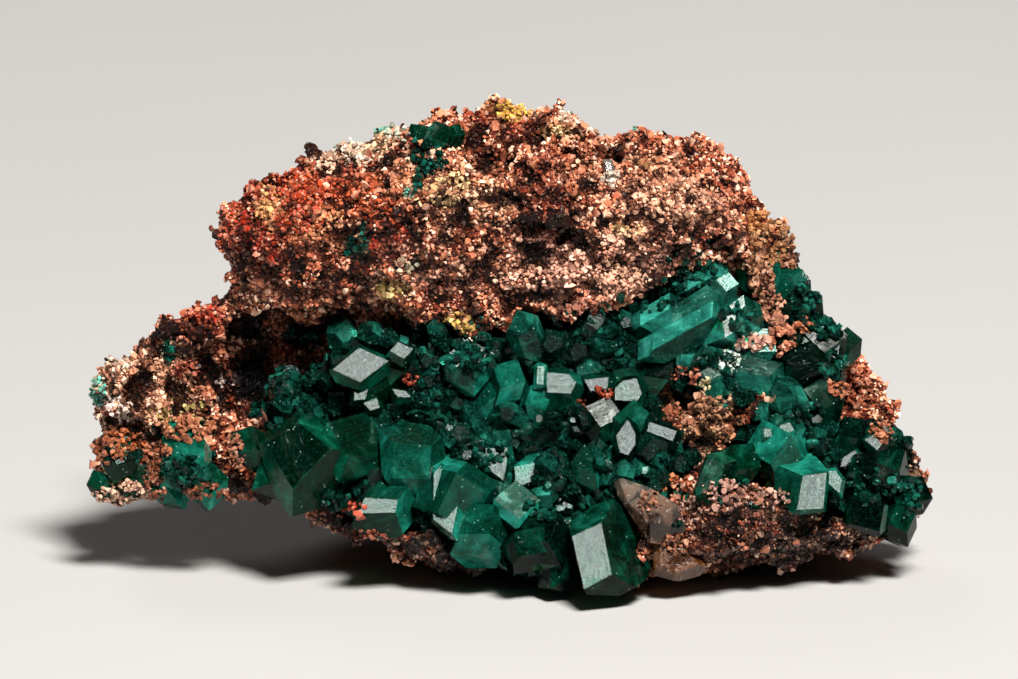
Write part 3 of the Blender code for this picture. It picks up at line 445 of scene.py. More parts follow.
@dataclass(frozen=True)
class CrystalFinish:
    """See-through green crystal with growth steps, clouds and broken patches; its glow and veil patches
    are partly cloudy stone and partly painted reflections inside it.
    """

    name: str
    deep: Colour
    body: Colour
    glow: Colour
    veil_and_inner_reflection: Colour
    tint: Colour = (0.04, 0.74, 0.50)
    density: float = 600.0
    cloudiness: float = 0.45
    clear: float = 0.85
    lines: float = 0.35
    rough: float = 0.07
    by_grain: bool = False
    specks: float = 1700.0
    speck_shade: Colour = (0.5, 0.70, 0.62)

    def make(self) -> Material:
        """Mix the crystal's material.

        Returns:
            The material.
        """
        sheet = Recipe(self.name)
        patches = sheet.cloud(sheet.place, 420.0, 5.0, 0.62, 0.6)
        level = sheet.blend(sheet.attribute("tone"), 0.3, patches, 0.7)
        # Glow and veil patches: partly cloudy stone, partly painted reflections inside the crystal.
        shade = sheet.ramp(level, (0.36, self.deep), (0.50, self.body), (0.66, self.glow),
                           (0.90, self.veil_and_inner_reflection))
        wisps = sheet.cloud(sheet.place, 1300.0, 6.0, 0.72, 1.4)
        # Veils: partly clouds in the stone, partly painted inner reflections.
        clouds_and_inner_reflections = sheet.mix(sheet.span(wisps, 0.58, 0.74, 0.0, self.cloudiness), shade, self.veil_and_inner_reflection)
        chosen = sheet.span(sheet.cells(self.specks, output="Color"), 0.55, 0.62)
        dust = sheet.sum("MULTIPLY", sheet.span(sheet.cells(self.specks), 0.06, 0.12, 1.0, 0.0), chosen)
        fine = sheet.cloud(sheet.place, 4200.0, 2.0, 0.7)
        grained = sheet.mix(sheet.span(fine, 0.50, 0.72, 0.0, 0.35), clouds_and_inner_reflections, self.veil_and_inner_reflection)
        surface_colour = sheet.mix(sheet.sum("MULTIPLY", dust, 0.8), grained, self.speck_shade)
        clear = sheet.sum("SUBTRACT", sheet.span(level, 0.45, 0.85, self.clear, 0.6 * self.clear),
                          sheet.sum("MULTIPLY", dust, 0.6))
        if self.by_grain:
            height = wisps
            rough = self.rough
        else:
            lines = sheet.cloud(sheet.stretch(sheet.uv(), (0.14, 5.0, 1.0)), 1.0, 4.0, 0.7)
            broad = sheet.cloud(sheet.stretch(sheet.uv(), (0.18, 0.7, 1.0)), 1.0, 3.0, 0.6, 0.5)
            height = sheet.blend(lines, 0.35, sheet.sum("SNAP", broad, 0.055), 2.2)
            rough = sheet.sum("ADD", sheet.span(lines, 0.3, 0.8, self.rough, self.rough + 0.12),
                              sheet.span(patches, 0.52, 0.72, 0.0, 0.22))
            sheet.inside(self.tint, self.density)
        relief = sheet.bump(height, self.lines, 0.00007)
        sheet.surface(Base_Color=surface_colour, Roughness=rough, IOR=1.67, Transmission_Weight=clear,
                      Specular_Tint=GLANCE, Normal=relief)
        return sheet.material


@dataclass(frozen=True)
class PaleFinish:
    """Cloudy pale mineral, clear in patches."""

    name: str
    foot: Colour
    body: Colour
    tip: Colour
    cloud: Colour
    clear: float
    fleck: Colour = (0.78, 0.70, 0.62)
    rust: Colour = (0.05, 0.018, 0.01)

    def make(self) -> Material:
        """Mix the mineral's material.

        Returns:
            The material.
        """
        sheet = Recipe(self.name)
        patches = sheet.cloud(sheet.place, 420.0, 6.0, 0.66, 0.8)
        specks = sheet.cloud(sheet.place, 2600.0, 3.0, 0.7)
        scratches = sheet.cloud(sheet.stretch(sheet.uv(), (0.25, 4.0, 1.0)), 1.0, 4.0, 0.7)
        rise = sheet.sum("ADD", sheet.height(), sheet.sum("MULTIPLY", patches, 0.003))
        along = sheet.ramp(sheet.span(rise, 0.0055, 0.0145), (0.0, self.foot), (0.30, self.body),
                           (0.62, self.body), (1.0, self.tip))
        shade = sheet.mix(sheet.span(patches, 0.46, 0.66), along, self.cloud)
        flecked = sheet.mix(sheet.span(specks, 0.60, 0.72, 0.0, 0.75), shade, self.fleck)
        rusted = sheet.mix(sheet.span(specks, 0.28, 0.38, 0.7, 0.0), flecked, self.rust)
        relief = sheet.bump(sheet.sum("ADD", scratches, specks), 0.5, 0.00008)
        clear = sheet.span(patches, 0.40, 0.62, self.clear, 0.35 * self.clear)
        sheet.surface(Base_Color=rusted, Roughness=sheet.span(patches, 0.3, 0.7, 0.06, 0.32),
                      IOR=1.55, Transmission_Weight=clear, Normal=relief)
        return sheet.material


@dataclass(frozen=True)
class Patch:
    """A place on the specimen in millimetres, where the eye sees it."""

    x: float
    v: float
    half_width: float
    half_height: float

    def away(self, spots: Rows) -> Rows:
        """How far off its middle seen spots lie, squared, with 1 at its edge."""
        return (((spots[:, 0] - self.x) / self.half_width) ** 2
                + ((spots[:, 1] - self.v) / self.half_height) ** 2)


@dataclass(frozen=True)
class ColourPatch(Patch):
    """A patch of colour on the rock: most are stains, a few are painted shade."""

    shade: str
    strength: float = 1.0


@dataclass(frozen=True)
class Form(Patch):
    """A hollow or a knob of the rock."""

    height: float
    turn: float = 0.0


@dataclass(frozen=True)
class Druse(Patch):
    """A patch of the rock that carries small crystals, and how thickly."""

    share: float


@dataclass(frozen=True)
class Trail(Patch):
    """A patch of crumbs or small crystals that lies on what the eye sees there."""

    shade: str
    cover: float = 9.0
    height: float = 0.5
    radius: float = 0.24
    turn: float = 0.0


BLACK = "000000"


def teal_trail(x: float, v: float, half_width: float, half_height: float, cover: float,
               radius: float, height: float = 0.3, turn: float = 0.0) -> Trail:
    """A trail of small crystals, which have no shade of their own."""
    return Trail(x, v, half_width, half_height, BLACK, cover, height, radius, turn)


STAINS_AND_PAINTED_SHADE = tuple(ColourPatch(*row) for row in (
    (-24, 41, 8, 5.6, "c03c18", 0.85), (-19, 42.5, 5, 3.6, "d04c20", 0.75),
    (-26.6, 38.6, 3.4, 5, "ac2c14", 0.8), (-13, 41.6, 7, 3.6, "cc5c30", 0.65),
    (-12.6, 37.4, 3.2, 2.4, "9c2410", 0.75), (-24.6, 41.6, 1.8, 3, "e8b070", 0.8),
    (-19.6, 38.8, 4, 2.6, "d8946a", 0.6), (-15.4, 47.4, 4.2, 2.2, "f2d8b0", 0.9),
    (-18.6, 47.6, 2.6, 3, "e8c8b0", 0.7), (-15, 49.6, 3.6, 0.9, "35c4b4", 0.9),
    (-19.4, 48.6, 1, 0.8, "4cc8b4", 0.7), (-17.8, 47.2, 1, 0.7, "40c4bc", 0.7),
    (-11.8, 49.4, 1.2, 1.6, "bfe0cc", 0.7), (-10, 50.4, 2.6, 1.4, "d8b890", 0.6),
    (-8.6, 44.2, 4.4, 3, "d8b890", 0.35), (-4, 41.6, 6, 2.6, "d8b890", 0.4),
    (0, 51, 2.6, 1.5, "e0b85c", 0.8), (-12, 32.6, 2.4, 1.4, "d8bc7c", 0.45),
    (-5, 28.6, 2, 1.4, "d8bc7c", 0.4), (12.6, 49.8, 1.8, 0.8, "5cccb4", 0.9),
    (10.6, 49.2, 3, 0.9, "c8c8b0", 0.6), (6, 50.6, 0.9, 1.2, "d0c8b0", 0.8),
    (4.6, 48.4, 2.4, 1.2, "dccb8c", 0.6), (1.6, 49, 2.2, 1.6, "a8301c", 0.6),
    (-2.6, 50.4, 2.6, 1.2, "a02c1c", 0.6), (14, 45.2, 2, 1, "d8c478", 0.4),
    (21.7, 41.5, 1.5, 1, "a83424", 0.9), (3, 42.6, 2.8, 2.8, "8c2818", 0.6),
    (3.4, 39, 3, 2, "8a2818", 0.7), (12.4, 38.6, 2, 1, "e8d890", 0.7), (17.6, 41, 7, 3.4, "f8bca0", 0.8),
    (8.6, 35, 9.2, 3.2, "ffc4ae", 0.85), (12, 45, 8, 3, "d89c7c", 0.5), (-6, 33.6, 5, 1.8, "b88474", 0.5),
    # Painted shade: the second row on this line darkens the ledge under the crystals.
    (-30, 23, 4, 3, "a0543c", 0.4), (22, 9.4, 5.2, 3.4, "5a4038", 0.88),
    (11, 34.6, 1.2, 1.2, "c8cc98", 0.4), (-41.4, 25, 2, 2, "e4d2b4", 0.9),
    (-43.5, 22.5, 1.2, 1.6, "3cbcac", 0.9), (-41.3, 20.6, 2.4, 0.8, "ece4d4", 0.9),
    (-41, 17, 2.4, 1.6, "b4562c", 0.7), (-34, 28, 5, 2.6, "a83c20", 0.6),
    (-35.6, 26.1, 0.8, 0.8, "30a890", 0.9), (-40.4, 14.2, 1.8, 1.4, "2c8c80", 0.7),
    (-15, 38, 0.5, 1.5, "28a088", 0.9), (-15.9, 36.6, 1.2, 1.2, "187c68", 0.9),
    (-10.5, 42.3, 0.7, 0.6, "40c4b0", 0.9), (20, 17.8, 4.2, 3.8, "c8a07c", 0.8),
    (26.4, 31, 1.8, 8, "b88c6c", 0.6), (41.8, 14.2, 2.6, 2.6, "c8a888", 0.7),
    (-10, 23, 1, 0.7, "a8301c", 0.8), (-16, 9.5, 1.6, 0.9, "a8341c", 0.8),
    (10, 21.5, 1, 0.7, "a8301c", 0.8), (-23.5, 26, 1.4, 0.8, "a0301c", 0.7),
    # Painted shadow: the first row on this line blackens the cave at the left. Painted shade: the second
    # darkens the ledge under the crystals.
    (-26.4, 22.4, 1.7, 4, "180a06", 0.95), (28, 5.6, 11, 3.2, "281c17", 0.92),
    # Painted shade: the last row on this line darkens the ledge under the crystals. The first darkens the
    # rock low along the front.
    (-12, 7.6, 12, 2.4, "30221c", 0.7), (-38, 22, 6.4, 7, "f4c8a8", 0.5), (31, 9, 7, 3, "4c3a32", 0.75),
    # Painted shade: this row darkens the ledge at the right end.
    (38, 13, 6, 4.6, "583c30", 0.6),
))
FORMS = tuple(Form(*row) for row in (
    (-0.4, 45.4, 5.6, 1.9, -0.9, -28), (-9.7, 48, 4, 1.3, -1.2), (-6.2, 38.5, 1.9, 3.8, -1.3),
    (5, 37.3, 5.6, 1.3, -1.6, -20), (20.8, 43.5, 1.9, 1.9, 0.5), (-15.5, 30.1, 2.8, 1.5, -1.8),
    (-18.6, 46.4, 2.8, 1.8, -1.5, -35), (-24.4, 44.3, 1.8, 1.6, -1.2), (2.7, 49.4, 1.6, 1.5, -1),
    (-27, 44.7, 2.4, 2, 0.8), (-20.5, 48.4, 1.9, 1.6, 0.8), (-12.4, 49.5, 1.9, 1.4, 0.6),
    (-1.5, 50.4, 4.6, 2, 0.6), (5, 51, 2.4, 1.6, 0.6), (17.7, 41.6, 4.8, 2.6, 1.2),
    (4.6, 33.8, 9, 2, 1, 8), (-12.4, 39.6, 6.2, 1.6, 0.9, 27), (-26.3, 35, 3.2, 3.4, 0.6),
    (9, 43, 3.4, 1.5, -1, 30), (11, 47, 2.6, 1.2, -0.9, -10), (-20, 36, 2.4, 1.2, -1, 20),
    (0.4, 42.4, 2.6, 1.4, 0.8, -25), (-35.6, 27.4, 2.6, 1.4, -1.2, 30), (-38, 20.8, 2.4, 1.6, -1.4),
    (-26.4, 22.4, 1.8, 4, -1.9), (-40.6, 24, 1.9, 1.8, 0.9), (-33, 22, 2, 1.6, 0.8),
))
DRUSE_PATCHES = tuple(Druse(*row) for row in (
    (-6, 27.6, 12, 2, 0.35), (12, 28.6, 9, 3, 0.6), (20, 34, 4, 4, 0.35), (-7.6, 47.4, 3, 1.6, 0.7),
    (-9, 45.2, 2.6, 1.4, 0.35), (-15.9, 36.6, 1.2, 1.2, 0.5), (-34, 17, 4, 3, 0.35), (30, 20, 5, 6, 0.4),
    (0, 8, 14, 2.4, 0.2), (36, 11, 6, 3.4, 0.4), (22, 25, 5, 3, 0.4),
))
CRUMB_TRAILS = tuple(Trail(*row) for row in (
    (27.6, 37.2, 2.6, 2.3, "b08458", 12, 1.2, 0.26), (26.2, 39.2, 2, 1.4, "c88a50", 10, 0.7),
    (29.4, 36.4, 1.4, 2, "8a5a3c", 10, 0.7), (26.3, 33.4, 1.3, 2.6, "b88868", 11, 0.9, 0.24, 12),
    (27.6, 30, 1.2, 2.6, "c08870", 11, 0.9, 0.24, 10), (28.4, 27, 1.5, 1.6, "d08464", 11, 0.9, 0.26),
    (25.6, 26.8, 1.9, 0.9, "e0b0a0", 10, 0.8, 0.26), (30.4, 28.4, 1.2, 0.8, "c07850", 9, 0.7, 0.24, 20),
    (18.4, 23.4, 1.7, 1.1, "9a4a30", 9, 0.7), (21.2, 20.2, 3.6, 1.4, "b48868", 9, 0.9, 0.26, -4),
    (17.6, 19.4, 1.6, 1.6, "a05c40", 9, 0.8, 0.26), (-10.2, 23, 1, 0.7, "a8301c", 11, 0.6, 0.22),
    (10, 21.5, 0.9, 0.7, "a8381c", 11, 0.6, 0.22), (-23.4, 26, 1.3, 0.9, "a0301c", 10, 0.6, 0.22),
    (-16.3, 9.4, 1.5, 0.9, "b0341c", 11, 0.8), (-24.6, 24.4, 1, 1.6, "8c2c1c", 8, 0.5, 0.22),
    (16.4, 12.4, 1.6, 1.3, "c4703c", 10, 0.7), (14.6, 10.4, 1.2, 1, "a87860", 7, 0.5, 0.22),
    (18.8, 9.2, 1.2, 1.6, "c09c90", 7, 0.6, 0.22), (17.4, 6, 1.6, 1.2, "8c5c44", 8, 0.6),
    (-31, 11.4, 3, 0.8, "8a4a34", 8, 0.6), (-36.6, 15, 1.6, 1.6, "a06040", 8, 0.6, 0.24, 30),
    (-28.4, 15.6, 1, 1.8, "a87058", 8, 0.6), (-6.4, 3.4, 2.2, 0.7, "7c4030", 7, 0.5, 0.22, -20),
    (34.8, 21.6, 1.8, 0.9, "a85c3c", 9, 0.7, 0.24, -30),
    (38.6, 17.6, 1.4, 1, "b06c4c", 9, 0.7, 0.24, -30), (7.6, 20.6, 0.6, 0.5, "8c3c24", 9, 0.4, 0.2),
    (-13.8, 6.6, 1.6, 0.6, "7c3424", 8, 0.5, 0.22, -20), (-41.2, 25, 1.7, 1.3, "fff0dc", 12, 0.8),
    (-43.4, 21.8, 1.3, 1.9, "58e8d8", 12, 0.6, 0.22), (-40.5, 20, 2.2, 1, "fff4ec", 9, 0.5, 0.22, -40),
    (-39.8, 16.9, 3, 1.6, "c86c38", 5, 0.6), (-29.4, 22.8, 1.5, 0.9, "fff0ec", 8, 0.4),
    (-34.4, 19.1, 3.4, 1.6, "a8a45c", 2.5, 0.4, 0.22), (-31.5, 29.6, 1.9, 0.8, "c03420", 10, 0.4, 0.22),
    (-33.2, 23.9, 1.9, 1.2, "94341f", 7, 0.5, 0.22), (-39.9, 10.9, 3.4, 1.5, "ecc8b0", 9, 0.8),
    (-33.6, 17.8, 2.8, 1.3, "b87450", 12, 1, 0.26), (-41.6, 15.6, 2.2, 1.3, "b86c44", 12, 0.9, 0.26),
    (-36.8, 12, 1.2, 2.4, "8c5038", 9, 0.6), (-16.8, 47.2, 2.8, 1.6, "fff0dc", 13, 0.6, 0.24, -30),
    (-19.4, 45.6, 1.6, 1.2, "f4d0b8", 9, 0.5, 0.22), (-14.9, 49.2, 2.4, 0.8, "48dccc", 13, 0.5, 0.22),
    (-19.2, 48.4, 0.9, 0.7, "50d0c0", 10, 0.4, 0.22), (-11.6, 49, 1.2, 1.4, "d8f0dc", 9, 0.4, 0.22),
    (0.3, 51, 1.6, 1.1, "ffd460", 11), (6.2, 50.4, 1, 0.8, "f4f0dc", 9, 0.4),
    (13, 49.4, 1.5, 0.7, "58d8c4", 11, 0.4, 0.22), (10.4, 49, 1.8, 0.7, "f0ecd8", 8, 0.4, 0.22),
    (-25.2, 41.6, 0.9, 2.2, "ffc880", 7, 0.4, 0.22), (-19.6, 39.2, 2.6, 1.4, "f4b080", 5, 0.5, 0.22, 20),
    (-23, 42.6, 3.4, 1.8, "d44418", 6, 0.5, 0.22, 25), (-20.8, 39.6, 2.6, 1.8, "c83c18", 5, 0.5, 0.22),
    (-13.2, 40.4, 2.8, 1.4, "cc5424", 5, 0.5, 0.22), (-6.6, 42.6, 3, 1.6, "f4d8a0", 5, 0.5, 0.24, 20),
    (10.6, 43.8, 0.9, 0.9, "f8ecdc", 7, 0.4, 0.26), (-12.3, 32.4, 1.8, 1, "f0d888", 6, 0.4),
    (-5, 28.9, 1.6, 1, "f0d070", 8, 0.6, 0.26), (-10.6, 34.8, 1.2, 0.8, "d8dcc0", 4, 0.4),
    (4, 33.6, 5, 1.4, "ffc8b0", 4, 0.5, 0.24, 8), (11.4, 33.6, 3.4, 1.6, "ffd0b4", 4),
    (17.4, 41.4, 4.6, 2.4, "ffccac", 4), (6.6, 30.6, 3.2, 0.9, "f0a890", 5, 0.5, 0.24, 10),
    (22.9, 24.8, 1.5, 1.3, "c8f4ec", 12, 0.5, 0.18), (20.4, 22.4, 0.6, 0.8, "d8d0a0", 8, 0.4, 0.2),
    (22.4, 11, 2.4, 1.6, "c49c90", 6, 0.6), (26.8, 10.6, 2.6, 1.2, "b08c80", 5),
    (36.6, 22.4, 1.2, 2.4, "a05438", 6, 0.5, 0.24, 30),
))
TEAL_TRAILS = tuple(teal_trail(*row) for row in (
    (21.6, 10.4, 0.9, 0.6, 6, 0.3), (23.8, 12.2, 0.7, 0.5, 6, 0.3), (25.6, 10, 0.8, 0.5, 6, 0.28),
    (14.8, 13.1, 0.9, 0.5, 6, 0.3), (18.1, 11.2, 0.8, 0.5, 6, 0.3), (17.4, 8, 0.6, 0.5, 6, 0.26),
    (-35.4, 26, 0.9, 1, 6, 0.3), (-33.4, 25, 0.6, 0.5, 6, 0.26), (-38.2, 10.2, 0.7, 0.6, 5, 0.26),
    (-42.5, 10.6, 0.5, 0.5, 6, 0.26), (19.4, 33.4, 3.2, 1, 3, 0.34, 0.3, 24),
    (15.6, 30.8, 2.2, 0.7, 3, 0.3, 0.3, 24), (31, 31.4, 1.6, 2.2, 3, 0.42),
    (33.6, 24.6, 1.6, 1.6, 2.5, 0.42), (22, 25, 2.4, 1.4, 2, 0.4), (30.6, 19.4, 2.4, 1.2, 2.5, 0.36),
    (38, 12, 3.6, 2, 2, 0.36), (41.8, 11.4, 1.2, 2.4, 3, 0.3), (-40, 15.4, 2.2, 1.2, 2.5, 0.34),
    (-24.6, 19.6, 1.4, 2.4, 3, 0.34), (-18, 10.6, 1.6, 1, 3, 0.34), (3.2, 9.4, 1.8, 1.2, 2.5, 0.4),
    (-2, 15, 2, 1.6, 2.5, 0.4), (-7.8, 21.8, 2, 1.2, 3, 0.34), (-8.6, 45.4, 1.5, 1.1, 6, 0.34),
    (-9.6, 42.8, 0.6, 0.6, 6, 0.3), (-15.1, 38, 0.5, 1.2, 6, 0.28), (-26.3, 19.8, 0.8, 0.9, 6, 0.34),
    (-4, 25.1, 2.5, 1.9, 4.5, 0.42, 0.2), (23.7, 29.4, 1.6, 1.5, 6, 0.36, 0.2),
    (32.8, 28.2, 1.9, 1.4, 5, 0.4, 0.2), (-34, 13.4, 2, 1.8, 4, 0.4),
    (-21, 27.4, 2.6, 0.8, 4, 0.34, 0.3, -10), (-16.4, 27.4, 2.6, 0.8, 4, 0.34),
))


class Skin:
    """The rock's own skin, which tells where a point that the eye sees lies."""

    def __init__(self, rock: Piece) -> None:
        """Read the rock's mesh."""
        self.tree = tree_of([rock])

    def depth_at(self, patch: Patch) -> float:
        """How far back the rock's front lies at the middle of a patch.

        Args:
            patch: The patch.

        Returns:
            Millimetres away from the eye, or 0 where the eye misses the rock.
        """
        start = seen(patch.x, patch.v, -EYE_REACH)
        ahead = (seen(patch.x, patch.v, EYE_REACH) - start).normalized()
        hit = self.tree.ray_cast(start, ahead)[0]
        return 0.0 if hit is None else float(as_seen(np.array([hit[:]]))[0, 2])


def noise_rows(points: Rows, size: float, shift: float) -> Rows:
    """Smooth noise from about -1 to 1 of a grain size, moved by a shift, at rows of points."""
    offset = Vector((shift, -2.0 * shift, 3.0 * shift))
    return np.array([noise(Vector(row) / size + offset) for row in points])


def stain_and_painted_shade_rows(points: Rows, skin: Skin) -> Rows:
    """The colour at each of some points, from the stains and the patches of painted shade.

    Args:
        points: Rows of points in metres.
        skin: The rock's skin.

    Returns:
        Rows of red, green, blue and strength.
    """
    spots = as_seen(points)
    ragged = sum(share * noise_rows(spots, size, shift) for share, size, shift in RAGGED)
    rows = np.zeros((len(points), 4))
    for stain in STAINS_AND_PAINTED_SHADE:
        thick = 1.2 * max(stain.half_width, stain.half_height) + 1.0
        away = np.sqrt(stain.away(spots) + ((spots[:, 2] - skin.depth_at(stain)) / thick) ** 2)
        share = np.clip((1.25 - away + ragged) / 0.6, 0.0, 1.0)
        share = (stain.strength * share * share * (3.0 - 2.0 * share))[:, None]
        rows = rows * (1.0 - share) + np.array((*colour(stain.shade), 1.0)) * share
    rows[:, :3] /= np.maximum(rows[:, 3:], 0.001)
    return rows


def hollow_rows(rock: Piece, rounds: int) -> Rows:
    """How far each point of a skin stands proud of its neighbourhood.

    Args:
        rock: A mesh object.
        rounds: How wide the neighbourhood is.

    Returns:
        From 0 in the hollows to 1 on the lumps.
    """
    points = corner_rows(rock)
    size = len(points)
    pairs = np.zeros(len(rock.data.edges) * 2, dtype=np.int64)
    rock.data.edges.foreach_get("vertices", pairs)
    first, second = pairs[0::2], pairs[1::2]
    count = np.bincount(first, minlength=size) + np.bincount(second, minlength=size)
    level = points.copy()
    for _ in range(rounds):
        total = np.stack([np.bincount(first, level[second, axis], size)
                          + np.bincount(second, level[first, axis], size)
                          for axis in range(3)], axis=1)
        level = 0.4 * level + 0.6 * total / np.maximum(count, 1)[:, None]
    proud = ((points - level) * corner_rows(rock, "normal")).sum(axis=1)
    low, high = np.percentile(proud, HOLLOW_SHARES)
    return np.clip((proud - low) / (high - low), 0.0, 1.0)


class Neighbours:
    """The solids that the rock and its crumbs keep clear of."""

    def __init__(self, nodes: list[str]) -> None:
        """Read the solids of the named nodes."""
        self.tree = tree_of([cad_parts[node] for node in nodes])

    def gap(self, point: Rows) -> float:
        """How far a point is from the solids.

        Args:
            point: The point in metres.

        Returns:
            Millimetres, below 0 inside a solid.
        """
        place = Vector(point)
        near, normal, _, distance = self.tree.find_nearest(place)
        within = False
        if (place - near).dot(normal) < 0.0:
            met, faced, _, _ = self.tree.ray_cast(place, UP)
            within = met is not None and faced.dot(UP) > 0.0
        return (-distance if within else distance) / MM

    def clear(self, points: Rows, start: float, width: float) -> Rows:
        """How free of the solids points are: 0 up to a start in mm, and 1 a width beyond it."""
        return np.array([fade(self.gap(point), start, width) for point in points])

    def hide(self, point: Rows) -> bool:
        """Whether the solids stand before a point from every side it could be seen from."""
        return all(self.tree.ray_cast(Vector(point), way)[0] is not None for way in SIGHT_WAYS)


class Pattern(Enum):
    """What the forms of a relief look like."""

    LUMPS = "CLOUDS"
    KNOBS = "VORONOI"


@dataclass(frozen=True)
class Relief:
    """A relief on a skin: its size and height in metres, and the share of it that sinks in."""

    pattern: Pattern
    size: float
    height: float
    level: float

    def lay_on(self, piece: Piece, group: str = "") -> None:
        """Put the relief on a piece as a modifier.

        Args:
            piece: The piece.
            group: The points that it reaches, or nothing for all.
        """
        texture = bpy.data.textures.new("relief", self.pattern.value)
        texture.noise_scale = self.size
        if self.pattern is Pattern.LUMPS:
            texture.noise_depth = 2
            texture.noise_type = "HARD_NOISE"
        modify(piece, "DISPLACE", texture=texture, texture_coords="LOCAL", strength=self.height,
               mid_level=self.level, vertex_group=group)


@dataclass
class RockBody:
    """The rock that carries the crystals: a lumpy skin with pits between its clumps."""

    neighbours: Neighbours
    voxel: float = 0.00055
    base_height: float = 0.0003
    base_fade: float = 0.001
    hollow_mix: tuple[tuple[float, int], ...] = ((0.55, 30), (0.45, 5))
    reliefs: tuple[Relief, ...] = (Relief(Pattern.LUMPS, 0.0056, 0.0026, 0.54),
                                   Relief(Pattern.LUMPS, 0.0024, 0.0023, 0.52),
                                   Relief(Pattern.KNOBS, 0.0016, -0.0011, 0.30))

    def press(self, rock: Piece) -> None:
        """Press in the listed hollows and raise the listed knobs.

        Args:
            rock: The rock.
        """
        skin = Skin(rock)
        points = corner_rows(rock)
        normals = corner_rows(rock, "normal")
        spots = as_seen(points)
        free = self.neighbours.clear(points, 0.4, 1.5)
        for form in FORMS:
            turn = math.radians(form.turn)
            right = spots[:, 0] - form.x
            up = spots[:, 1] - form.v
            back = spots[:, 2] - skin.depth_at(form)
            along = (right * math.cos(turn) + up * math.sin(turn)) / form.half_width
            across = (up * math.cos(turn) - right * math.sin(turn)) / form.half_height
            away = along ** 2 + across ** 2 + (back / (form.half_width + form.half_height)) ** 2
            share = np.clip(1.0 - away, 0.0, 1.0) ** 1.5
            points += normals * (MM * form.height * share * free)[:, None]
        move_corners(rock, points)

    def build(self) -> Piece:
        """Make the rock's skin.

        Returns:
            The rock, with its hollows kept as a value on the mesh, which paints shade into them and light
            onto its lumps.
        """
        rock = copy_of_node("matrix_rock", "rock_body")
        modify(rock, "REMESH", mode="VOXEL", voxel_size=self.voxel)
        modify(rock, "SMOOTH", factor=0.5, iterations=12)
        apply_modifiers(rock)
        self.press(rock)
        modify(rock, "REMESH", mode="VOXEL", voxel_size=self.voxel)
        apply_modifiers(rock)
        before = corner_rows(rock)
        free = self.neighbours.clear(before, 0.2, 1.0)
        free *= np.clip((before[:, 2] - self.base_height) / self.base_fade, 0.0, 1.0)
        group = rock.vertex_groups.new(name="open")
        for index, weight in enumerate(free.tolist()):
            group.add([index], weight, "REPLACE")
        for relief in self.reliefs:
            relief.lay_on(rock, "open")
        apply_modifiers(rock)
        rock.vertex_groups.clear()
        points = corner_rows(rock)
        points[:, 2] = np.maximum(points[:, 2], 0.0)
        points[before[:, 2] < self.base_height, 2] = 0.0
        move_corners(rock, points)
        select_only(rock)
        bpy.ops.object.shade_smooth()
        # The hollow value paints shade into the rock's hollows and light onto its lumps.
        store_numbers(rock, "hollow", sum(share * hollow_rows(rock, rounds)
                                          for share, rounds in self.hollow_mix))
        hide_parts("matrix_rock")
        return rock


def chips(count: int) -> list[Piece]:
    """Small angular grains of one unit in size, modelled once and copied everywhere.

    Args:
        count: How many shapes. The first is a block and the rest are chips and splinters.

    Returns:
        The shapes.
    """
    shapes = []
    for index in range(count):
        splinter = index % 3 > 0
        bpy.ops.object.select_all(action="DESELECT")
        if index == 0:
            bpy.ops.mesh.primitive_cube_add(size=1.3)
        else:
            bpy.ops.mesh.primitive_uv_sphere_add(segments=3 if splinter else 4, ring_count=2,
                                                 radius=1.2 if splinter else 1.15)
        chip = bpy.context.object
        chip.name = f"chip_{index}"
        with all_of(chip):
            bpy.ops.transform.vertex_random(offset=0.30 if splinter else 0.26, seed=31 * index + 7)
        shapes.append(chip)
    return shapes


def crystal_shapes() -> list[Piece]:
    """Small six-sided crystals with three rhomb faces at each end, one unit across.

    Returns:
        The shapes.
    """
    lean = math.radians(51.0)
    shapes = []
    for index, (half_length, skew) in enumerate(((0.62, 0.0), (0.9, 0.18), (1.25, -0.1), (1.7, 0.1))):
        bpy.ops.object.select_all(action="DESELECT")
        bpy.ops.mesh.primitive_cylinder_add(vertices=6, radius=1.0, depth=8.0)
        shape = bpy.context.object
        shape.name = f"crystal_{index}"
        with all_of(shape):
            for end, side in [(end, side) for end in (1.0, -1.0) for side in range(3)]:
                around = math.radians(120.0 * side + (60.0 if end < 0.0 else 0.0))
                out = Vector((math.cos(around) * math.sin(lean), math.sin(around) * math.sin(lean),
                              end * math.cos(lean)))
                reach = end * (half_length + 0.25) + skew * math.cos(2.0 * around)
                bpy.ops.mesh.select_all(action="SELECT")
                bpy.ops.mesh.bisect(plane_co=(0.0, 0.0, reach), plane_no=out, use_fill=True,
                                    clear_outer=True)
        shapes.append(shape)
    return shapes


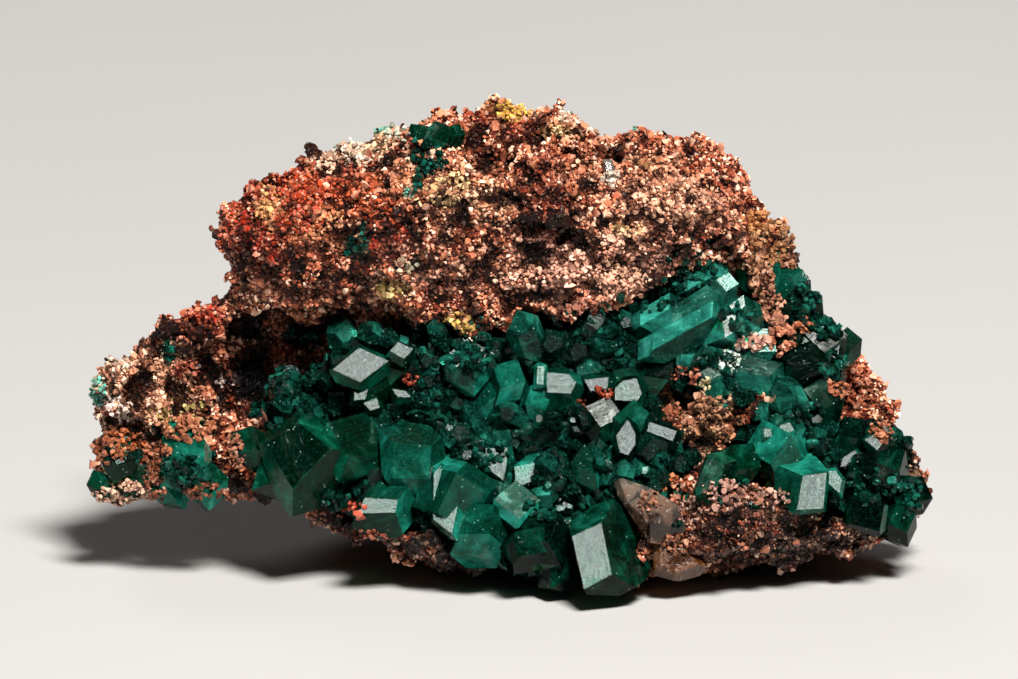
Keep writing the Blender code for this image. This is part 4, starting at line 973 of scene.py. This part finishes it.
class Planter:
    """Plants copies of a few shapes on many points, as one mesh."""

    def __init__(self, name: str, shapes: list[Piece], standing: bool) -> None:
        """Put the shapes away on a shelf and lay out the geometry nodes that plant them.

        Args:
            name: The shelf's name.
            shapes: The shapes.
            standing: Whether they stand up from what they are strewn on.
        """
        self.count = len(shapes)
        self.standing = standing
        shelf = bpy.data.collections.new(name)
        for shape in shapes:
            for home in list(shape.users_collection):
                home.objects.unlink(shape)
            shelf.objects.link(shape)
        self.sheet = bpy.data.node_groups.new(f"plant_{name}", "GeometryNodeTree")
        for in_out in ("INPUT", "OUTPUT"):
            self.sheet.interface.new_socket("Geometry", in_out=in_out, socket_type="NodeSocketGeometry")
        add, join = self.sheet.nodes.new, self.sheet.links.new
        start, end = add("NodeGroupInput"), add("NodeGroupOutput")
        stock = add("GeometryNodeCollectionInfo")
        stock.inputs["Collection"].default_value = shelf
        stock.inputs["Separate Children"].default_value = True
        stock.inputs["Reset Children"].default_value = True
        plants = add("GeometryNodeInstanceOnPoints")
        plants.inputs["Pick Instance"].default_value = True
        for value, kind, socket in (("kind", "INT", "Instance Index"),
                                    ("turn", "FLOAT_VECTOR", "Rotation"),
                                    ("size", "FLOAT_VECTOR", "Scale")):
            kept = add("GeometryNodeInputNamedAttribute")
            kept.data_type = kind
            kept.inputs["Name"].default_value = value
            join(kept.outputs["Attribute"], plants.inputs[socket])
        whole = add("GeometryNodeRealizeInstances")
        join(start.outputs[0], plants.inputs["Points"])
        join(stock.outputs["Instances"], plants.inputs["Instance"])
        join(plants.outputs["Instances"], whole.inputs["Geometry"])
        join(whole.outputs["Geometry"], end.inputs[0])

    def plant(self, name: str, points: Rows, turns: Rows, sizes: Rows, kinds: Rows,
              tones: Rows) -> Piece:
        """Plant shapes at points.

        Args:
            name: The new piece's name.
            points: Where the shapes stand, in metres.
            turns: Their angles.
            sizes: Their scale along each axis, in metres.
            kinds: Which shape each one is.
            tones: A value from 0 to 1 for each one's shade.

        Returns:
            The piece.
        """
        mesh = bpy.data.meshes.new(name)
        mesh.from_pydata([tuple(row) for row in points], [], [])
        piece = add_object(name, mesh)
        kept_kinds = mesh.attributes.new("kind", "INT", "POINT")
        kept_kinds.data.foreach_set("value", kinds.astype(np.int32))
        store_numbers(piece, "turn", turns, Kept.FLOAT_VECTOR)
        store_numbers(piece, "size", sizes, Kept.FLOAT_VECTOR)
        store_numbers(piece, "tone", tones)
        modify(piece, "NODES", node_group=self.sheet)
        apply_modifiers(piece)
        for spent in ("kind", "turn", "size"):
            if spent in piece.data.attributes:
                piece.data.attributes.remove(piece.data.attributes[spent])
        return piece


def nearest_seats(piece: Piece, seats: Rows) -> list[int]:
    """Which shape each point of a planted piece belongs to.

    Args:
        piece: The piece.
        seats: Where its shapes were planted.

    Returns:
        The index of the nearest seat for each point.
    """
    tree = KDTree(len(seats))
    for index, seat in enumerate(seats):
        tree.insert(seat, index)
    tree.balance()
    return [tree.find(row)[1] for row in corner_rows(piece)]


@dataclass(frozen=True)
class Cover:
    """How thickly something covers a skin: metres from one to the next, half width and tries."""

    spacing: float
    radius: float
    tries: int

    def spread(self, piece: Piece, draw: np.random.Generator, least: float = -1.0,
               most: float = 1.0) -> tuple[Rows, Rows, Rows]:
        """Points on the part of a skin that faces the eye so far, none too near another.

        Args:
            piece: The skin.
            draw: The source of chance.
            least: How far that part faces the eye at the least, from -1 to 1.
            most: How far it does at the most.

        Returns:
            The points, their normals and the nearest corner of the skin for each.
        """
        mesh = piece.data
        mesh.calc_loop_triangles()
        corners = np.zeros(len(mesh.loop_triangles) * 3, dtype=np.int64)
        mesh.loop_triangles.foreach_get("vertices", corners)
        corners = corners.reshape(-1, 3)
        one, two, three = corner_rows(piece)[corners.T]
        crossed = np.cross(two - one, three - one)
        area = 0.5 * np.linalg.norm(crossed, axis=1)
        facing = crossed @ np.array(EYE_WAY) / np.maximum(2.0 * area, NOTHING)
        wanted = np.where((facing >= least) & (facing <= most), area, 0.0)
        picks = draw.choice(len(corners), size=self.tries, p=wanted / wanted.sum())
        first = np.sqrt(draw.random(self.tries))[:, None]
        second = draw.random(self.tries)[:, None]
        points = (one[picks] * (1.0 - first) + two[picks] * (first * (1.0 - second))
                  + three[picks] * (first * second))
        normals = crossed[picks] / np.maximum(2.0 * area[picks], NOTHING)[:, None]
        taken: dict[tuple[int, int, int], list[int]] = {}
        kept = []
        for index, (x, y, z) in enumerate(np.floor(points / self.spacing).astype(int).tolist()):
            near = [other for step in STEPS
                    for other in taken.get((x + step[0], y + step[1], z + step[2]), ())]
            gaps = points[near] - points[index]
            if not near or (gaps * gaps).sum(axis=1).min() >= self.spacing * self.spacing:
                taken.setdefault((x, y, z), []).append(index)
                kept.append(index)
        return points[kept], normals[kept], corners[picks[kept], 0]


class Side(Enum):
    """The parts of the rock that are covered with crumbs one by one."""

    BOULDER_LEFT = "crumbs_boulder_left"
    BOULDER_RIGHT = "crumbs_boulder_right"
    ARM = "crumbs_left_arm"
    LEDGE = "crumbs_ledge"
    RIGHT = "crumbs_right"
    BACK = "crumbs_back"


@dataclass
class Crumbs:
    """The grains that cover the rock."""

    rock: Piece
    skin: Skin
    neighbours: Neighbours
    crust: Neighbours
    planter: Planter
    front: Cover = Cover(0.00027, 0.00018, 84000)
    back: Cover = Cover(0.00056, 0.00031, 60000)
    turned_away: float = 0.20
    least_height: float = 0.0005
    crystal_gap: float = 0.16
    crust_gap: float = 0.6
    boulder_foot: float = 27.5
    arm_top: float = 32.0
    arm_end: float = -28.0
    right_start: float = 17.0
    back_start: float = 6.0
    back_facing: float = -0.15
    seed: int = 5

    def sides(self, spots: Rows, facing: Rows) -> Rows:
        """Which piece each grain belongs to.

        Args:
            spots: Where the eye sees the grains.
            facing: How far each faces the eye, from -1 to 1.

        Returns:
            The index of a side for each grain.
        """
        x, v, y = spots.T
        boulder = v > self.boulder_foot
        cases = (((facing < self.back_facing) & (y > self.back_start), Side.BACK),
                 ((x < self.arm_end) & (v < self.arm_top), Side.ARM),
                 (boulder & (x > 0.0), Side.BOULDER_RIGHT), (boulder, Side.BOULDER_LEFT),
                 (x > self.right_start, Side.RIGHT))
        order = list(Side)
        return np.select([case for case, _ in cases], [order.index(side) for _, side in cases],
                         order.index(Side.LEDGE))

    def free(self, point: Rows) -> bool:
        """Whether a grain at a point shows and stands in nothing."""
        return (self.neighbours.gap(point) > self.crystal_gap and self.crust.gap(point) > self.crust_gap
                and not self.neighbours.hide(point))

    def build(self) -> list[Piece]:
        """Cover the rock.

        Returns:
            The pieces, one for each side.
        """
        draw = np.random.default_rng(self.seed)
        hollows = np.zeros(len(self.rock.data.vertices))
        self.rock.data.attributes["hollow"].data.foreach_get("value", hollows)
        front = self.front.spread(self.rock, draw, least=self.turned_away)
        back = self.back.spread(self.rock, draw, most=self.turned_away)
        points, normals, corners = (np.concatenate(pair) for pair in zip(front, back))
        radius = np.repeat((self.front.radius, self.back.radius), (len(front[0]), len(back[0])))
        keep = points[:, 2] > self.least_height
        keep &= np.array([self.free(point) for point in points])
        points, normals, corners, radius = (rows[keep] for rows in (points, normals, corners, radius))
        count = len(points)
        radius *= draw.lognormal(0.0, 0.28, count).clip(0.5, 1.6)
        side = self.sides(as_seen(points), normals @ np.array(EYE_WAY))
        sizes = radius[:, None] * draw.uniform(0.7, 1.3, (count, 3))
        lift = draw.uniform(-0.35, 0.75, count) * radius
        seats = points + normals * lift[:, None]
        seats[:, 2] = np.maximum(seats[:, 2], SEAT_RISE * radius)
        # Stains and painted shade of the rock under each grain.
        colour_rows = stain_and_painted_shade_rows(points, self.skin)
        colour_rows[:, 3] = np.clip(colour_rows[:, 3] * draw.uniform(0.2, 1.5, count), 0.0, 1.0)
        tones = np.clip(draw.normal(0.62, 0.20, count), 0.0, 1.0)
        turns = draw.uniform(0.0, FULL_TURN, (count, 3))
        kinds = draw.integers(0, self.planter.count, count)
        pieces = []
        for index, name in enumerate(Side):
            mine = np.flatnonzero(side == index)
            piece = self.planter.plant(name.value, seats[mine], turns[mine], sizes[mine], kinds[mine],
                                       tones[mine])
            nearest = mine[nearest_seats(piece, seats[mine])]
            # Each grain takes the hollow value of the rock under it, for painted shade in the hollows.
            store_numbers(piece, "hollow", hollows[corners[nearest]])
            store_numbers(piece, "stain", colour_rows[nearest], Kept.FLOAT_COLOR)
            pieces.append(piece)
        return pieces


@dataclass
class Sprinkler:
    """Drops grains on whatever the eye sees at a place, so that each rests on a surface."""

    planter: Planter
    ground: list[Piece]
    # The hollow value of every sprinkled grain, which sets its painted shade: near 1, as on a lump.
    proud: float = 0.85

    def build(self, name: str, trails: tuple[Trail, ...], seed: int) -> Piece:
        """Lay the trails.

        Args:
            name: The piece's name.
            trails: The patches.
            seed: The seed of chance.

        Returns:
            The grains as one piece.
        """
        tree = tree_of(self.ground)
        draw = np.random.default_rng(seed)
        seats, sizes, colour_rows, leans = [], [], [], []
        for trail in trails:
            turn = math.radians(trail.turn)
            area = math.pi * trail.half_width * trail.half_height
            for _ in range(int(trail.cover / GRAIN_SHARE ** 1.5 * area)):
                out = math.sqrt(draw.random()) * draw.uniform(0.75, 1.15)
                around = draw.uniform(0.0, FULL_TURN)
                along = trail.half_width * out * math.cos(around)
                across = trail.half_height * out * math.sin(around)
                start = seen(trail.x + along * math.cos(turn) - across * math.sin(turn),
                             trail.v + along * math.sin(turn) + across * math.cos(turn), -EYE_REACH)
                place, normal, _, _ = tree.ray_cast(start, -EYE_WAY)
                if place is None:
                    continue
                radius = GRAIN_SHARE * MM * trail.radius * draw.lognormal(0.0, 0.28)
                rise = draw.uniform(0.0, trail.height) * MM * max(0.0, 1.0 - out * out)
                seats.append(place + normal * (0.3 * radius + rise))
                sizes.append(radius * draw.uniform(0.75, 1.25, 3))
                leans.append(normal)
                colour_rows.append((*colour(trail.shade), draw.uniform(0.7, 1.0)))
        count = len(seats)
        if self.planter.standing:
            turns = np.array([spun(Vector(np.array(lean) + draw.normal(0.0, 0.5, 3)),
                                   draw.uniform(0.0, 6.28)) for lean in leans])
        else:
            turns = draw.uniform(0.0, FULL_TURN, (count, 3))
        seats = np.array(seats)
        seats[:, 2] = np.maximum(seats[:, 2], SEAT_RISE * np.max(sizes, axis=1))
        piece = self.planter.plant(name, seats, turns, np.array(sizes),
                                   draw.integers(0, self.planter.count, count),
                                   np.clip(draw.normal(0.60, 0.20, count), 0.0, 1.0))
        nearest = nearest_seats(piece, seats)
        store_numbers(piece, "stain", np.array(colour_rows)[nearest], Kept.FLOAT_COLOR)
        # Painted shade: every sprinkled grain takes the same hollow value.
        store_numbers(piece, "hollow", np.full(len(nearest), self.proud))
        return piece


@dataclass
class CrystalGroup:
    """A group of grown-through crystals, sharpened from its solid."""

    node: str
    seed: int
    bevel: float = 0.00006
    flat_angle: float = math.radians(1.2)
    edge_angle: float = math.radians(24.0)

    def build(self) -> Piece:
        """Make the crystals.

        Returns:
            The piece that stands for the solid.
        """
        group = copy_of_node(self.node, f"{self.node}_cut")
        with all_of(group):
            bpy.ops.mesh.dissolve_limited(angle_limit=self.flat_angle)
        modify(group, "BEVEL", width=self.bevel, segments=1, limit_method="ANGLE",
               angle_limit=self.edge_angle)
        apply_modifiers(group)
        bpy.ops.object.shade_flat()
        self.lay_out(group)
        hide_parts(self.node)
        return group

    def lay_out(self, group: Piece) -> None:
        """Lay each face out along its longest edge and give it a shade of its own.

        Args:
            group: The crystals.
        """
        mesh = group.data
        draw = np.random.default_rng(self.seed)
        while mesh.uv_layers:
            mesh.uv_layers.remove(mesh.uv_layers[0])
        layer = mesh.uv_layers.new(name="faces")
        tone = mesh.attributes.new("tone", "FLOAT", "FACE")
        shades: dict[tuple[int, ...], float] = {}
        for face in mesh.polygons:
            corners = [mesh.vertices[index].co for index in face.vertices]
            sides = [corners[index] - corners[index - 1] for index in range(len(corners))]
            along = max(sides, key=lambda side: side.length).normalized()
            across = face.normal.cross(along)
            for loop, corner in zip(face.loop_indices, corners):
                layer.data[loop].uv = (corner.dot(along) / MM, corner.dot(across) / MM)
            plane = (*(round(axis * 20) for axis in face.normal),
                     round(face.center.dot(face.normal) / MM))
            if plane not in shades:
                shades[plane] = float(draw.uniform(0.0, 1.0))
            tone.data[face.index].value = shades[plane]


@dataclass
class HollowCrust:
    """The lining of the hollow, thick with small crystals."""

    planter: Planter
    neighbours: Neighbours
    voxel: float = 0.00055
    knobs: Relief = Relief(Pattern.KNOBS, 0.0012, -0.0005, 0.4)
    least_height: float = 0.0012

    def lining(self) -> Piece:
        """Make the lining.

        Returns:
            The piece that stands for the crust's solid.
        """
        crust = copy_of_node("vug_crust", "hollow_lining")
        modify(crust, "REMESH", mode="VOXEL", voxel_size=self.voxel)
        self.knobs.lay_on(crust)
        apply_modifiers(crust)
        tones = 0.5 + noise_rows(corner_rows(crust) / MM, 1.1, 2.0)
        store_numbers(crust, "tone", np.clip(tones, 0.0, 1.0))
        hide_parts("vug_crust")
        return crust

    def crystals(self, name: str, skin: Piece, cover: Cover, seed: int, where: tuple[Druse, ...] = (),
                 gap: float = 0.1) -> Piece:
        """Plant small crystals on a skin.

        Args:
            name: The piece's name.
            skin: What they stand on.
            cover: How thickly they stand.
            seed: The seed of chance.
            where: The patches that carry crystals, or nothing for all of the skin.
            gap: How far they keep from the large crystals, in millimetres.

        Returns:
            The piece.
        """
        draw = np.random.default_rng(seed)
        points, normals, _ = cover.spread(skin, draw, least=-0.2)
        keep = points[:, 2] > self.least_height
        if where:
            chance = np.zeros(len(points))
            for patch in where:
                away = patch.away(as_seen(points))
                chance = np.maximum(chance, np.where(away < 1.0, patch.share * (1.2 - away), 0.0))
            keep &= draw.random(len(points)) < chance
        keep &= np.array([self.neighbours.gap(point) > gap for point in points])
        points = points[keep]
        normals = normals[keep]
        count = len(points)
        radii = cover.radius * draw.lognormal(0.0, 0.34, count).clip(0.5, 1.9)
        leans = normals + draw.normal(0.0, 0.55, (count, 3))
        turns = np.array([spun(Vector(lean), spin)
                          for lean, spin in zip(leans, draw.uniform(0.0, FULL_TURN, count))])
        sizes = radii[:, None] * draw.uniform(0.85, 1.15, (count, 3))
        return self.planter.plant(name, points + normals * (0.1 * radii)[:, None], turns, sizes,
                                  draw.integers(0, self.planter.count, count),
                                  np.clip(draw.normal(0.45, 0.26, count), 0.0, 1.0))


@dataclass(frozen=True)
class Lamp:
    """A soft square lamp that faces the specimen."""

    name: str
    place: Vector
    size: float
    power: float
    tint: Colour = (1.0, 1.0, 1.0)
    glossy: bool = True
    diffuse: bool = True

    def hang(self) -> None:
        """Hang the lamp in its place. The camera never sees it."""
        data = bpy.data.lights.new(self.name, "AREA")
        data.shape = "SQUARE"
        data.size = self.size
        data.energy = self.power
        data.color = self.tint
        lamp = add_object(self.name, data)
        lamp.location = self.place
        lamp.rotation_euler = (self.place - LAMP_AIM).to_track_quat("Z", "Y").to_euler()
        lamp.visible_camera = False
        lamp.visible_glossy = self.glossy
        lamp.visible_diffuse = self.diffuse


@dataclass(frozen=True)
class Studio:
    """Plain floor, soft lights and the camera."""

    floor_size: float = 30.0
    floor_shades: tuple[Colour, Colour] = ((0.36, 0.36, 0.36), (0.40, 0.398, 0.394))
    lamps: tuple[Lamp, ...] = (
        Lamp("key_light", 1.4 * way(58.0, 26.0), 0.40, 52.0, (1.0, 0.96, 0.91), glossy=False),
        Lamp("window_light", 1.5 * way(50.0), 0.30, 8.0, diffuse=False),
        Lamp("back_light", Vector((-0.7, 1.5, 1.2)), 0.8, 7.0, (1.0, 0.98, 0.96)))
    air: Colour = (0.9, 0.95, 1.0)
    air_light: float = 0.012

    def build(self) -> None:
        """Set the studio up."""
        bpy.ops.object.select_all(action="DESELECT")
        bpy.ops.mesh.primitive_plane_add(size=self.floor_size)
        floor = bpy.context.object
        floor.name = "studio_floor"
        sheet = Recipe("studio_floor_paint")
        mottle = sheet.cloud(sheet.place, 6.0, 3.0, 0.5)
        sheet.surface(Base_Color=sheet.mix(mottle, *self.floor_shades), Roughness=0.85)
        floor.data.materials.append(sheet.material)
        for lamp in self.lamps:
            lamp.hang()
        world = bpy.data.worlds.new("studio_air")
        world.use_nodes = True
        world.node_tree.nodes["Background"].inputs["Color"].default_value = (*self.air, 1.0)
        world.node_tree.nodes["Background"].inputs["Strength"].default_value = self.air_light
        bpy.context.scene.world = world
        self.camera()
        bpy.context.scene.view_settings.view_transform = "Standard"

    def camera(self) -> None:
        """Put the camera where the photograph was taken from."""
        data = bpy.data.cameras.new("camera")
        data.sensor_width = SENSOR
        data.lens = SENSOR * CAMERA_DISTANCE / (PHOTO_WIDTH * MM)
        data.dof.use_dof = False
        camera = add_object("camera", data)
        camera.location = CAMERA_AIM + CAMERA_DISTANCE * EYE_WAY
        camera.rotation_euler = (math.pi / 2.0 - VIEW_FALL, 0.0, 0.0)
        bpy.context.scene.camera = camera


# The rock under the crumbs is darker than the crumbs: partly its own colour, partly painted shade in the
# gaps between grains.
ROCK = RockFinish("iron_stained_rock", colour("260c06"), colour("5a2418"), colour("9a503a"),
                  colour("d89c7c"), 0.00042, 0.7)
CRUMB = RockFinish("rock_crumbs", colour("30100a"), colour("843620"), colour("cc8260"),
                   colour("ffdfc6"), 0.0005, 0.3, by_grain=True)
PALE = PaleFinish("pale_brown_mineral", colour("6c3c0e"), colour("3a261c"), colour("988e80"),
                  colour("6c5040"), 0.85)
DARK_GREEN = CrystalFinish("deep_green_crystal", (0.0004, 0.022, 0.008), (0.0012, 0.062, 0.026),
                           (0.005, 0.16, 0.085), (0.02, 0.38, 0.28), (0.012, 0.60, 0.33), 640.0,
                           0.30, 0.86, 0.45, 0.045)
FRONT_GREEN = CrystalFinish("darkest_green_crystal", (0.0003, 0.009, 0.004), (0.0007, 0.028, 0.012),
                            (0.003, 0.095, 0.05), (0.02, 0.32, 0.24), (0.012, 0.58, 0.33), 660.0,
                            0.25, 0.90, 0.45, 0.045)
TEAL_GREEN = CrystalFinish("teal_green_crystal", (0.001, 0.05, 0.024), (0.004, 0.155, 0.09),
                           (0.016, 0.37, 0.26), (0.06, 0.60, 0.48), (0.02, 0.74, 0.50), 540.0,
                           0.40, 0.80, 0.45, 0.055)
BRIGHT_GREEN = CrystalFinish("bright_green_crystal", (0.002, 0.05, 0.027), (0.010, 0.19, 0.13),
                             (0.04, 0.44, 0.34), (0.13, 0.70, 0.60), (0.04, 0.80, 0.58), 400.0,
                             0.5, 0.78, 0.6, 0.06)
SMALL_GREEN = CrystalFinish("small_green_crystals", (0.0004, 0.008, 0.004), (0.0015, 0.03, 0.017),
                            (0.016, 0.22, 0.15), (0.10, 0.60, 0.49), cloudiness=0.25, clear=0.75,
                            lines=0.2, rough=0.06, by_grain=True)
LINING_GREEN = CrystalFinish("dark_hollow_lining", (0.0003, 0.004, 0.002), (0.001, 0.014, 0.008),
                             (0.005, 0.055, 0.034), (0.04, 0.24, 0.19), cloudiness=0.15, clear=0.3,
                             lines=0.5, rough=0.3, by_grain=True)

CRYSTALS: dict[str, CrystalFinish] = {
    "front_large_crystal": FRONT_GREEN, "front_left_crystals": TEAL_GREEN,
    "left_dark_crystals": DARK_GREEN, "kite_faced_crystals": DARK_GREEN,
    "middle_striated_crystals": TEAL_GREEN, "hollow_bright_crystals": TEAL_GREEN,
    "hollow_right_crystals": FRONT_GREEN, "grey_faced_crystal": DARK_GREEN,
    "right_large_crystal": TEAL_GREEN, "right_end_block": FRONT_GREEN,
    "right_edge_crystals": FRONT_GREEN, "parallel_growth_mass": BRIGHT_GREEN,
    "glinting_cluster": FRONT_GREEN, "back_slope_crystals": TEAL_GREEN,
    "left_arm_crystals": TEAL_GREEN, "left_hollow_crystals": DARK_GREEN,
    "top_pocket_crystals": DARK_GREEN,
}
PALE_LUMPS = ("clear_brown_wedge", "pale_shard")


def main() -> None:
    """Build the specimen piece by piece."""
    logging.basicConfig(level=logging.INFO, format="%(message)s")
    neighbours = Neighbours([*CRYSTALS, *PALE_LUMPS])
    body = RockBody(neighbours).build()
    skin = Skin(body)
    store_numbers(body, "stain", stain_and_painted_shade_rows(corner_rows(body), skin), Kept.FLOAT_COLOR)
    finish_piece(body, ROCK.make())

    grains = Planter("grain_shapes", chips(8), standing=False)
    crumb_material = CRUMB.make()
    for piece in Crumbs(body, skin, neighbours, Neighbours(["vug_crust"]), grains).build():
        finish_piece(piece, crumb_material)

    sprigs = Planter("crystal_shapes", crystal_shapes(), standing=True)
    crust = HollowCrust(sprigs, neighbours)
    small_material = SMALL_GREEN.make()
    lining = crust.lining()
    finish_piece(lining, LINING_GREEN.make())
    for piece in (
            crust.crystals("small_crystals", lining, Cover(0.0009, 0.00062, 9000), 29),
            crust.crystals("middle_crystals", lining, Cover(0.0020, 0.00110, 3000), 33, gap=-0.3),
            crust.crystals("druse", body, Cover(0.00045, 0.00032, 60000), 31, DRUSE_PATCHES)):
        finish_piece(piece, small_material)

    ground = [body, lining]
    made = {finish.name: finish.make() for finish in dict.fromkeys(CRYSTALS.values())}
    for index, (node, finish) in enumerate(CRYSTALS.items()):
        piece = CrystalGroup(node, 40 + index).build()
        finish_piece(piece, made[finish.name])
        ground.append(piece)
    pale_material = PALE.make()
    for node in PALE_LUMPS:
        piece = CrystalGroup(node, 90).build()
        finish_piece(piece, pale_material)
        ground.append(piece)
    strewn = Sprinkler(grains, ground).build("crumbs_on_crystals", CRUMB_TRAILS, 51)
    finish_piece(strewn, crumb_material)
    scattered = Sprinkler(sprigs, ground).build("scattered_crystals", TEAL_TRAILS, 52)
    finish_piece(scattered, small_material)

    Studio().build()


if __name__ == "__main__":
    main()
